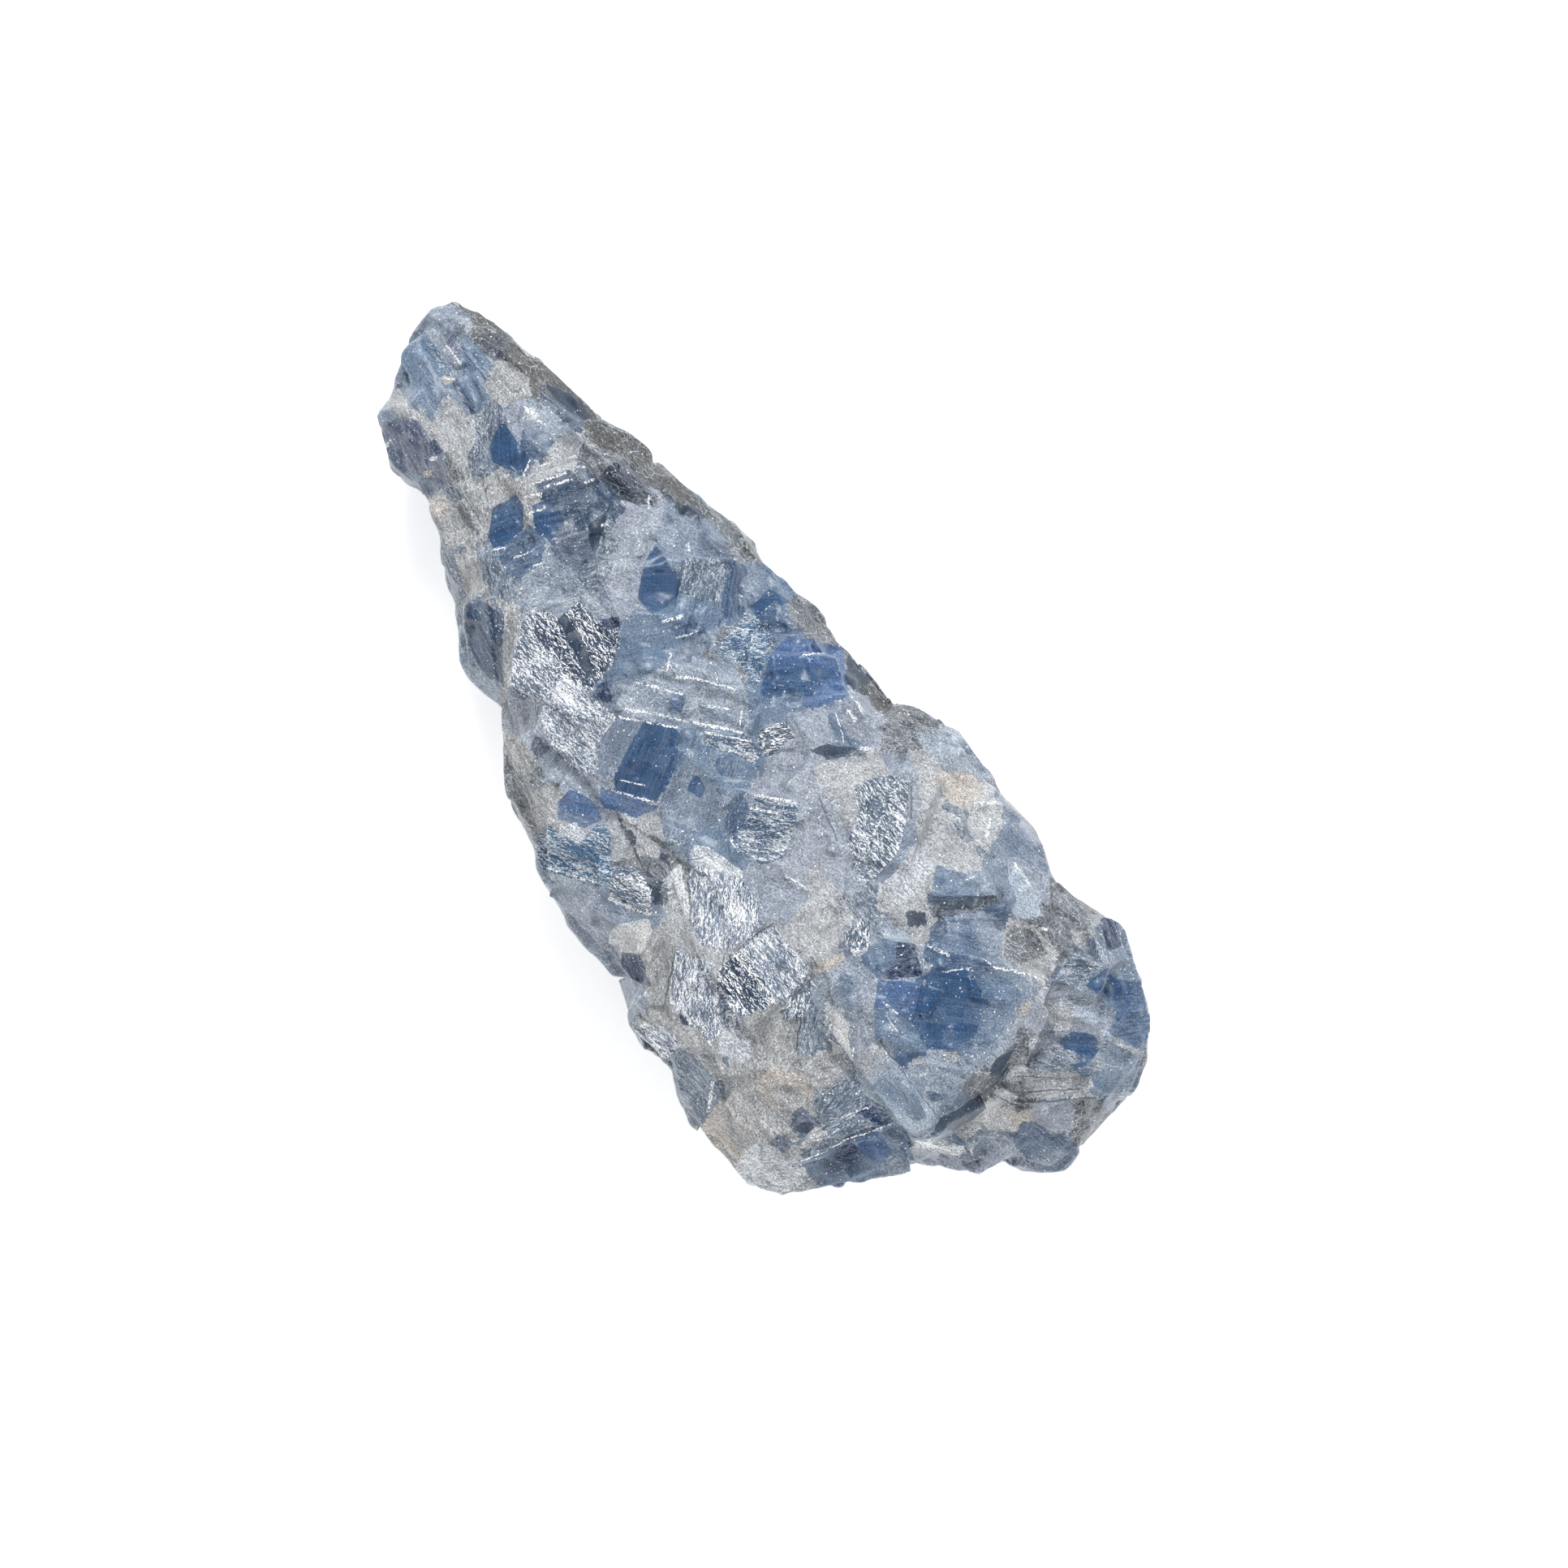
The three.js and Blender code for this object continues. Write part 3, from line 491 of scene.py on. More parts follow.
# %% Thin the hidden side
MOST_TRIANGLES = 192000
LOOKS_UP = 0.3
places = [v.co.copy() for v in specimen_mesh.vertices]
skin_tree = search_tree(specimen_mesh)
above = Vector((0, 0, 0.3 * MM))
hidden = [
    i for i, v in enumerate(specimen_mesh.vertices)
    if v.normal.z < LOOKS_UP or skin_tree.ray_cast(places[i] + above, Vector((0, 0, 1)))[0] is not None
]
group = specimen.vertex_groups.new(name="hidden side")
group.add(hidden, 1.0, "REPLACE")
full = 2 * len(specimen_mesh.polygons)
thin = specimen.modifiers.new("thin the hidden side", "DECIMATE")
thin.ratio = min(1.0, MOST_TRIANGLES / full)
thin.vertex_group = group.name
specimen_mesh = as_mesh(specimen)
specimen.modifiers.remove(thin)
specimen.vertex_groups.clear()
specimen.data = specimen_mesh
print("triangles before thinning:", full, "hidden points:", len(hidden))

# %% [markdown]
# Thinning can fold a few triangles flat onto each other. Both of such a pair go, so every edge
# still has a triangle on each side.

# %% Triangles
skin = bmesh.new()
skin.from_mesh(specimen_mesh)
bmesh.ops.triangulate(skin, faces=skin.faces)
same_points = {}
for face in skin.faces:
    same_points.setdefault(frozenset(v.index for v in face.verts), []).append(face)
doubled = [face for faces in same_points.values() if len(faces) > 1 for face in faces]
bmesh.ops.delete(skin, geom=doubled, context="FACES")
print("doubled triangles taken out:", len(doubled))
skin.to_mesh(specimen_mesh)
skin.free()
corners, where, normals, areas = triangles_of(specimen_mesh)
points = np.array([v.co for v in specimen_mesh.vertices])
count = len(points)
print("triangles:", len(corners), "points:", count)

# %% [markdown]
# Much of what follows compares a point with its neighbours: how sharp an edge is, how a colour
# runs into the next. Mesh edges say who is a neighbour of whom, and these helpers use them.

# %% Neighbours
pairs = np.array([e.vertices for e in specimen_mesh.edges])
ends = np.concatenate([pairs[:, 0], pairs[:, 1]])
others = np.concatenate([pairs[:, 1], pairs[:, 0]])
neighbours = np.maximum(np.bincount(ends, minlength=count), 1)


def around(values):
    """For each point, the mean of a value over its neighbours."""
    values = values.reshape(count, -1)
    total = np.stack([np.bincount(ends, values[others, k], count) for k in range(values.shape[1])], axis=1)
    return (total / neighbours[:, None]).squeeze()


def softened(values, times):
    """A value spread over its neighbourhood, more widely the more times it is done."""
    for _ in range(times):
        values = 0.5 * values + 0.5 * around(values)
    return values


def point_normals():
    """The outward direction at each point, from its triangles by their areas."""
    total = np.zeros((count, 3))
    for k in range(3):
        np.add.at(total, corners[:, k], normals * areas[:, None])
    return total / np.maximum(np.linalg.norm(total, axis=1), 1e-18)[:, None]


# %% [markdown]
# ## Worn tips
# The strewn plates are sharp, and a corner that leaves its face altogether looks like a thorn.
# Real ones break off early. So a point may rise only so far above the solid, least on the steep
# sides, where it would change the outline, and lone tips come down to their neighbourhood.

# %% Nothing stands out far
LOOKS_SIDEWAYS = 0.5
STAND_OUT_SIDE = 0.12 * MM
STAND_OUT_TOP = 0.45 * MM
pulled = 0
for i, point in enumerate(points):
    nearest, face_normal, _, distance = lump_tree.find_nearest(Vector(point))
    away = Vector(point) - nearest
    most = STAND_OUT_SIDE if face_normal.z < LOOKS_SIDEWAYS else STAND_OUT_TOP
    if distance > most and away.dot(face_normal) > 0:
        points[i] = nearest + away * (most / distance)
        pulled += 1
print("points pulled in:", pulled)

# %% Blunt tips


def blunted(points, outward, most, times):
    """Points brought down where they stand up alone above their neighbourhood, as worn tips are."""
    for _ in range(times):
        away = points - softened(points, 3)
        length = np.maximum(np.linalg.norm(away, axis=1), 1e-12)
        tip = ((away * outward).sum(axis=1) > 0) & (length > most)
        points = points - away * (tip * (1 - most / length))[:, None]
    return points


points = blunted(points, point_normals(), 0.07 * MM, 8)
specimen_mesh.vertices.foreach_set("co", points.ravel())
corners, where, normals, areas = triangles_of(specimen_mesh)
outward = point_normals()
print("highest point:", round(points[:, 2].max() / MM, 2), "mm")

# %% [markdown]
# ## Crystal faces and their finishes
# Each face of the real lump has its own look: deep clear blue, milky, frosted, crumpled like
# foil, brown where it is weathered. Every finish is a colour with its share of glitter, of frost
# and of inner colour blocks. The glitter share raises real folds and paints glints and shade on
# them. The darkest finishes, laid in recesses, under risers and along the far edge, are painted
# shade. Colours are given as seen on a screen and turned into light.

# %% Finishes: colour, glitter, frost, blocks, striae
FINISHES = {
    "deep": ((49, 88, 128), 0.0, 0.0, 0.4, 0.25),
    "royal": ((82, 112, 153), 0.0, 0.0, 0.4, 0.3),
    "inky": ((8, 46, 88), 0.15, 0.0, 0.3, 0.3),
    "denim": ((75, 103, 134), 0.1, 0.05, 0.7, 0.5),
    "blue": ((117, 137, 159), 0.0, 0.1, 0.7, 0.4),
    "sky": ((182, 193, 205), 0.0, 0.2, 0.3, 0.8),
    "steel": ((130, 144, 162), 0.0, 0.3, 0.7, 0.5),
    "slate": ((95, 113, 133), 0.3, 0.3, 0.7, 0.6),
    "violet": ((87, 100, 125), 0.15, 0.15, 0.6, 0.5),
    "dusk": ((54, 79, 108), 0.1, 0.1, 0.6, 0.5),
    # painted shade: risers in shadow and the far flank
    "shade": ((46, 60, 78), 0.1, 0.4, 0.5, 0.5),
    "teal": ((66, 106, 138), 0.5, 0.1, 0.3, 0.3),
    "sparkle": ((62, 94, 124), 0.55, 0.3, 0.2, 0.4),
    "lilac": ((160, 167, 179), 0.0, 0.5, 0.7, 0.5),
    "pale": ((148, 159, 173), 0.1, 0.6, 1.0, 0.5),
    "frost": ((176, 178, 181), 0.2, 1.0, 0.4, 0.3),
    "milk": ((214, 214, 214), 0.05, 0.5, 0.3, 0.3),
    "white": ((198, 203, 209), 0.6, 0.3, 0.0, 0.0),
    "foil": ((145, 157, 175), 1.0, 0.3, 0.1, 0.3),
    "silver": ((107, 124, 144), 0.9, 0.2, 0.1, 0.3),
    "crumpled": ((46, 74, 104), 1.0, 0.1, 0.1, 0.3),
    "cream": ((186, 178, 169), 0.2, 0.9, 0.2, 0.3),
    "stone": ((161, 161, 161), 0.25, 1.0, 0.5, 0.5),
    "grey": ((91, 98, 106), 0.2, 0.6, 0.6, 0.5),
    "umber": ((79, 81, 82), 0.0, 0.6, 0.2, 0.3),
    # painted shade in crevices and recesses
    "shaded_recess": ((52, 69, 89), 0.0, 0.1, 0.0, 0.0),
}
KINDS = list(FINISHES)


def light_of(screen):
    """Screen values from 0 to 255 as amounts of light."""
    value = np.asarray(screen) / 255
    return np.where(value < 0.04045, value / 12.92, ((value + 0.055) / 1.055) ** 2.4)


# %% [markdown]
# The faces of the upper side are outlined here in millimetres, each with its finish and the
# heading of its grain in degrees. They are listed from the narrow tip to the broad end, and a
# later face lies over an earlier one.
#
# The narrow tip is brown where it is weathered, and thin layers step down along it.

# %% The narrow tip
NARROW_TIP = [
    ("umber", 8, [(-39.8, 6.6), (-36.2, 8.4), (-33, 8.4), (-30.5, 9.6), (-27, 9.9), (-25.6, 9.6),
        (-25.6, 8.6), (-28, 8.2), (-32, 7.6), (-34.4, 6.4), (-35.8, 5.9), (-38, 6)]),
    ("shaded_recess", 8, [(-30.4, 8.3), (-28.2, 9.5), (-26.4, 9.5), (-26.3, 8.8), (-28, 8.4), (-29.9, 7.9)]),
    ("shade", 8, [(-36, 7.6), (-34.2, 7.9), (-33.9, 6.8), (-34.6, 6), (-36, 5.9)]),
    ("umber", 15, [(-34.2, 6.5), (-33.6, 7.3), (-31, 8), (-29, 8.1), (-29, 6.9), (-30, 6.2)]),
    ("dusk", 20, [(-30.2, 7.7), (-28.6, 8.2), (-26.4, 8.9), (-25.7, 8.2), (-27, 7.5), (-29.4, 7)]),
    ("pale", 80, [(-39.8, 6.3), (-37.8, 7), (-36.9, 6.4), (-36.9, 5.3), (-38.4, 4.9), (-39.8, 4.4)]),
    ("steel", 80, [(-39.4, 6), (-38.4, 6.3), (-38.3, 5.4), (-39.2, 5)]),
    ("blue", 0, [(-36.9, 5.9), (-36, 5.8), (-34.2, 5.6), (-33.3, 5.4), (-33.6, 5), (-36.2, 5.1),
        (-37, 5.2)]),
    ("violet", 0, [(-38.2, 5.2), (-36.1, 5.2), (-36, 4.5), (-38, 4.4)]),
    ("denim", 0, [(-36, 4.9), (-33.4, 4.7), (-33, 4), (-34.8, 3.9), (-35.4, 4.5)]),
    ("lilac", 0, [(-39, 4.3), (-35.4, 4.3), (-35.2, 3.4), (-38.6, 3.6)]),
    ("blue", 0, [(-35.2, 4), (-33, 4.1), (-32.1, 3.8), (-32, 2.9), (-34.9, 3.2)]),
    ("blue", 0, [(-39.4, 3.5), (-35.4, 3.3), (-35.1, 2.8), (-35.5, 2.1), (-39.2, 2)]),
    ("teal", 0, [(-38.4, 3.5), (-35.2, 3.2), (-35.2, 2.8), (-38.2, 3)]),
    ("blue", 0, [(-35.2, 2.7), (-31.8, 2.5), (-32, 2.1), (-35, 2)]),
    ("cream", 60, [(-35.6, 2.6), (-35, 3.2), (-34.7, 2.8), (-34.9, 2.3), (-35.5, 2.3)]),
    ("inky", 0, [(-34.8, 3.2), (-31.9, 2.95), (-31.9, 2.5), (-34.2, 2.6), (-34.8, 2.8)]),
    ("blue", -5, [(-39.2, 2.1), (-34.6, 2), (-34.2, 0.8), (-33.2, -0.3), (-35, -0.1), (-38, 0)]),
    ("frost", -20, [(-34.4, 2.1), (-32, 2.3), (-31.4, 1.8), (-29.4, 0.1), (-28.6, -0.3), (-31.2, -0.1),
        (-33, -0.3), (-34.1, 0.9)]),
    ("stone", 0, [(-34.3, 6.4), (-33.2, 7.2), (-31.4, 7.5), (-30.2, 6.9), (-30.8, 6), (-31, 5.4),
        (-31.6, 4.6), (-32.8, 4.2), (-33.3, 4.6), (-33.2, 5.6)]),
    ("pale", 20, [(-30.2, 6.9), (-28, 7.5), (-26, 7.8), (-25, 8), (-24.2, 7.4), (-25.2, 6.3), (-27, 5.9),
        (-29, 6.1), (-30.8, 5.7)]),
    ("white", 20, [(-29.7, 6.3), (-28.7, 6.5), (-28.5, 5.8), (-29.8, 5.6)]),
    ("lilac", 20, [(-30.9, 5.5), (-28.4, 5.9), (-28.2, 4.8), (-29.2, 4.1), (-30.8, 4.9)]),
    ("denim", 20, [(-28.2, 5.9), (-26.6, 6.1), (-26, 4.8), (-26.2, 4), (-28, 4.1), (-28.8, 4.9)]),
    ("slate", -35, [(-32.1, 4.2), (-30.8, 4.9), (-29.6, 4.1), (-28, 3.9), (-26.4, 3.9), (-25.4, 3),
        (-26.2, 2), (-27.2, 1.8), (-27.7, 0.4), (-28.2, -0.3), (-29.4, 0.1), (-30.4, 1.5), (-31.8, 2.7)]),
    ("deep", -35, [(-30.2, 4), (-28.6, 3.9), (-26.6, 3.8), (-26, 2.6), (-27.4, 1.9), (-28.2, 1.5),
        (-29.2, 2)]),
    ("frost", 0, [(-26.6, 7.2), (-25.2, 7.6), (-24.2, 7.2), (-25.4, 5.6), (-26.4, 5.4)]),
    ("stone", -60, [(-27.4, 1.9), (-26.2, 1.7), (-25, 2.4), (-25, 0.6), (-25.5, -0.5), (-26.8, -0.6),
        (-27.5, 0.4)]),
    ("stone", -25, [(-33, -0.4), (-29, -0.2), (-25.4, -0.8), (-24, -2.2), (-24, -3.4), (-25, -5),
        (-28.4, -4.6), (-29, -3.6), (-28.8, -1.4), (-31.6, -0.6)]),
    ("grey", -20, [(-29.9, -0.7), (-28.4, -0.9), (-28.6, -1.5), (-30, -1.4)]),
    ("slate", -5, [(-29.2, -1.9), (-27.4, -1.9), (-27.4, -2.7), (-28.4, -2.9), (-29, -2.6)]),
    ("grey", -5, [(-27.2, -2.1), (-24.6, -2.3), (-24.6, -3), (-27, -2.8)]),
    ("stone", -5, [(-27.8, -1.4), (-25, -1.5), (-24.8, -1.8), (-27.4, -1.8)]),
    ("cream", -10, [(-29, -3.3), (-27.6, -3.1), (-27, -4.4), (-28.8, -4.3)]),
    ("stone", 10, [(-37.2, -0.2), (-35, -0.5), (-32.2, -0.6), (-31.4, -0.8), (-34.2, -1.2), (-35, -1.9),
        (-36.6, -1.9)]),
    ("steel", 0, [(-37.9, 0.1), (-35.6, -0.1), (-34.3, -0.5), (-34.8, -0.7), (-36.8, -0.6), (-37.6, -0.4)]),
    ("violet", -15, [(-34.9, -1.6), (-34, -1), (-32.2, -1.1), (-31.4, -0.8), (-30.4, -1.3), (-29.2, -2),
        (-28.9, -3.4), (-29.2, -4.3), (-31, -4.7), (-32.4, -5.2), (-33.8, -4.6), (-34.8, -4),
        (-35.6, -2.6)]),
    ("inky", -15, [(-32.3, -0.8), (-31.1, -0.9), (-31.2, -1.5), (-32.1, -1.5)]),
    ("steel", 30, [(-31.9, -4.2), (-30.6, -3.3), (-29.3, -2.6), (-29.2, -3.1), (-30.6, -3.9)]),
    ("cream", 60, [(-30.9, -3), (-30.5, -2.4), (-30.2, -2.8), (-30.4, -3.3)]),
    ("white", 60, [(-31.4, -2.1), (-31.1, -1.5), (-30.9, -1.7), (-31.1, -2.2)]),
    ("white", 60, [(-34.3, -3.9), (-34, -3.6), (-33.8, -4), (-34.1, -4.2)]),
    ("steel", 0, [(-36.8, -1.9), (-35.1, -1.9), (-35.4, -3.8), (-36.6, -3.8)]),
]

# %% From the tip to the middle
TIP_TO_MIDDLE = [
    ("umber", 10, [(-26, 9.6), (-24, 10.5), (-22, 11.5), (-18, 11.9), (-16, 12.1), (-14.6, 12.3),
        (-15.6, 10.9), (-18.2, 10.2), (-20, 9.6), (-22, 9.8), (-24, 8.6), (-25.6, 8.2)]),
    ("shaded_recess", 20, [(-17.6, 10.2), (-16, 11.4), (-14.9, 11.8), (-15.4, 10.8), (-16.6, 10.1)]),
    ("shade", 20, [(-22, 9.8), (-20, 9.7), (-17.9, 9.4), (-19, 8), (-21, 6.8), (-22.4, 7.2), (-22.6, 8.8)]),
    ("grey", 0, [(-25.4, 8.3), (-22.6, 8.4), (-22.4, 7.1), (-24.8, 7)]),
    ("dusk", 0, [(-24.6, 6.6), (-22.2, 6.9), (-20.6, 7.4), (-19.2, 7.2), (-19, 6), (-21, 5.3),
        (-23.4, 5.9)]),
    ("dusk", 70, [(-24.2, 5.7), (-22.4, 5.8), (-20.2, 4.9), (-19.8, 3.9), (-21.4, 3), (-23.4, 2.5),
        (-25, 3)]),
    ("deep", 70, [(-23.3, 3.2), (-21.4, 3.1), (-20.8, 1.3), (-22, 0.8), (-23.8, 1.8)]),
    ("deep", 70, [(-25.2, 1.3), (-24.2, 1.3), (-22.6, 0.1), (-22.4, -1.4), (-23.2, -2.5), (-24, -2.2),
        (-25.4, -0.6)]),
    ("denim", 70, [(-22.8, 0.8), (-21, 1), (-20, -0.2), (-20, -2.4), (-21, -2.8), (-22.6, -2.4)]),
    ("violet", 60, [(-20.8, 3.4), (-19.4, 3.8), (-18, 3.2), (-18, 1.4), (-19, 0.8), (-20.8, 1.1)]),
    ("pale", 70, [(-20, -0.2), (-18.6, 0.3), (-17, 0.7), (-16.1, 0), (-16.4, -1.5), (-18.2, -2.3),
        (-20, -2.3)]),
    ("lilac", 40, [(-19.2, 6.6), (-18.4, 7.9), (-17.6, 8.1), (-16.3, 7.2), (-16.2, 6), (-17.2, 5),
        (-18.6, 5.2)]),
    ("lilac", 30, [(-17.4, 6), (-16.2, 5.8), (-13.4, 3.8), (-12.8, 2.4), (-13.4, 1.8), (-15.9, 2.8),
        (-17.2, 4)]),
    ("slate", 30, [(-19.6, 5.6), (-18.6, 5.4), (-17.4, 4.9), (-17.3, 3.9), (-18.4, 4)]),
    ("shaded_recess", -50, [(-20, 5.7), (-19.5, 5.6), (-18.4, 4), (-18, 3.1), (-19.2, 3.7), (-20, 4.3)]),
    ("slate", 10, [(-18, 3.3), (-16.4, 3.8), (-15.8, 2.2), (-16.8, 1.2), (-17.8, 0.8)]),
    ("pale", 15, [(-16, 1.5), (-14, 2), (-13.4, 1.4), (-14, 0.6), (-15.6, 0.2), (-17, 0.6)]),
]

# %% [markdown]
# Where the lump broke along many small planes at once, a face is crumpled like foil.

# %% Dark crumpled faces and the far edge beside them
CRUMPLED_FACES = [
    ("crumpled", 4, [(-16, 0.2), (-14, 0.3), (-12.8, 1.5), (-11.6, 0.6), (-10.6, -1), (-10, -3.6),
        (-12, -4), (-16, -4), (-17.8, -3.4), (-17, -2.2), (-15.8, -1.8)]),
    ("silver", 4, [(-17.8, -2.4), (-16, -4), (-12, -3.9), (-12.4, -7), (-13, -8), (-14.6, -7.6),
        (-17.6, -3.8)]),
    ("foil", 8, [(-12.2, -3.9), (-10, -3.6), (-7.4, -2.9), (-6.6, -5), (-5, -6.9), (-5.4, -7.5),
        (-8, -8.3), (-10.6, -7.6), (-12.6, -7.2)]),
    ("inky", 4, [(-14, 0.5), (-13.2, 1.9), (-12.5, 1.4), (-12.9, 0.7)]),
    ("shaded_recess", -5, [(-15.9, -1.2), (-14, -1.3), (-10.7, -2.2), (-11, -2.8), (-13.4, -2.4), (-15.8, -1.9)]),
    ("blue", 60, [(-13, 3.2), (-11.4, 3.7), (-9.8, 4), (-8.4, 2.6), (-8.2, 0.6), (-9, -0.6), (-9.6, -1.6),
        (-10.6, -0.8), (-11.4, 0.3), (-12, 1.6)]),
    ("inky", 0, [(-10.1, -1.9), (-8.8, -2.2), (-8.4, -2.8), (-9.9, -3.4)]),
    ("steel", 40, [(-16.8, 8.2), (-15.6, 10.2), (-14.2, 11.8), (-12.4, 11.5), (-13.4, 9.6), (-13.6, 7.4),
        (-15.8, 7.4)]),
    ("deep", 55, [(-15.8, 7.4), (-14.2, 7.2), (-12.4, 7.2), (-11.5, 6), (-11.8, 3.9), (-13.4, 3.8),
        (-15.2, 5.8)]),
    ("grey", 10, [(-15, 12), (-14, 12.6), (-12, 13.1), (-10.2, 12.2), (-10.8, 11.6), (-12.6, 11.8)]),
    ("dusk", 10, [(-14.6, 10.5), (-12, 11.5), (-10.6, 11.3), (-11.4, 10.1), (-13.6, 9.9)]),
    ("umber", 10, [(-12, 13.3), (-10.2, 13.4), (-9.8, 12.5), (-11.6, 12.3)]),
    ("slate", -50, [(-13.6, 8.6), (-12, 10.5), (-11, 10.3), (-9.8, 8.8), (-9.4, 8), (-11, 6.6),
        (-12.4, 7.2)]),
    ("blue", -50, [(-11.6, 6.4), (-9.6, 8.2), (-8.1, 6.6), (-8.4, 5.8), (-10, 4.3), (-11.6, 4.4)]),
    ("deep", -50, [(-9.9, 6.2), (-8.1, 6.4), (-8.6, 4.7), (-9.6, 4.3)]),
    ("denim", -50, [(-11.2, 11.4), (-10, 11.7), (-8.6, 10), (-7.1, 9.3), (-8, 7), (-9.5, 8.5), (-10.4, 10)]),
    ("steel", 20, [(-10, 12.2), (-8.4, 12.4), (-7.8, 10.4), (-9.6, 10.4)]),
    ("blue", 10, [(-9.8, 12.9), (-8.6, 13.4), (-6.4, 13.9), (-6.4, 12.6), (-8.6, 12.3)]),
    ("deep", 60, [(-7.9, 12.1), (-7.7, 10), (-6.8, 10), (-6.2, 12.6)]),
]

# %% Near edge of the narrow half
NEAR_EDGE_OF_TIP = [
    ("slate", -20, [(-25.2, -5), (-23.6, -4.2), (-21.4, -5.6), (-21.4, -7), (-22.6, -7.5), (-24.4, -6.6)]),
    ("stone", -25, [(-24, -4.3), (-21, -4.5), (-20.4, -5.4), (-21.8, -6.1), (-24.6, -5)]),
    ("slate", -30, [(-23.8, -2.3), (-21.8, -2.6), (-19.4, -3.1), (-20, -4.5), (-21.8, -4.4), (-23.6, -3.6)]),
    ("dusk", -20, [(-21.4, -5.8), (-20.4, -5.4), (-18.4, -5.1), (-17.2, -6.2), (-14.6, -8), (-15.6, -8.7),
        (-17.6, -8.6), (-19.4, -8), (-20.9, -6.8)]),
    ("pale", -15, [(-19.8, -8.2), (-17.6, -8.6), (-15.6, -8.7), (-14.4, -8.2), (-13.2, -9.2),
        (-16.6, -10.2), (-18.6, -9.5)]),
    ("stone", -40, [(-20.2, -4.7), (-18.3, -3.4), (-17.4, -4.2), (-16, -6), (-14.2, -7.7), (-12.2, -9.8),
        (-13.2, -9.5), (-14.9, -8.1), (-17, -6.1), (-18.6, -4.9)]),
    ("lilac", -10, [(-14.4, -7.8), (-13, -7.6), (-11, -7.6), (-9, -8.3), (-9.4, -9.5), (-11.6, -9.7)]),
    ("violet", -50, [(-9.9, -8.2), (-8.4, -8.2), (-8.5, -9.6), (-9.8, -9.3)]),
    ("pale", 40, [(-8.4, -8.3), (-5, -7.6), (-2.2, -7.7), (-4.4, -9.8), (-7, -9.8), (-8.6, -9.5)]),
    ("stone", 0, [(-12, -9.8), (-9.6, -9.6), (-8, -10), (-8.2, -11.3), (-10.2, -11.2), (-11.2, -10.6)]),
    ("grey", 10, [(-10.3, -11.2), (-8.2, -11.4), (-7.2, -9.9), (-5.8, -11), (-5.8, -13.8), (-9, -13.4)]),
    ("stone", 30, [(-6.6, -9.8), (-5.2, -9.6), (-4.4, -11), (-4.2, -12.6), (-5.8, -13.2), (-6.8, -11.4)]),
]

# %% [markdown]
# In the middle, narrow slats lie side by side like a ladder, with clear blue between them.

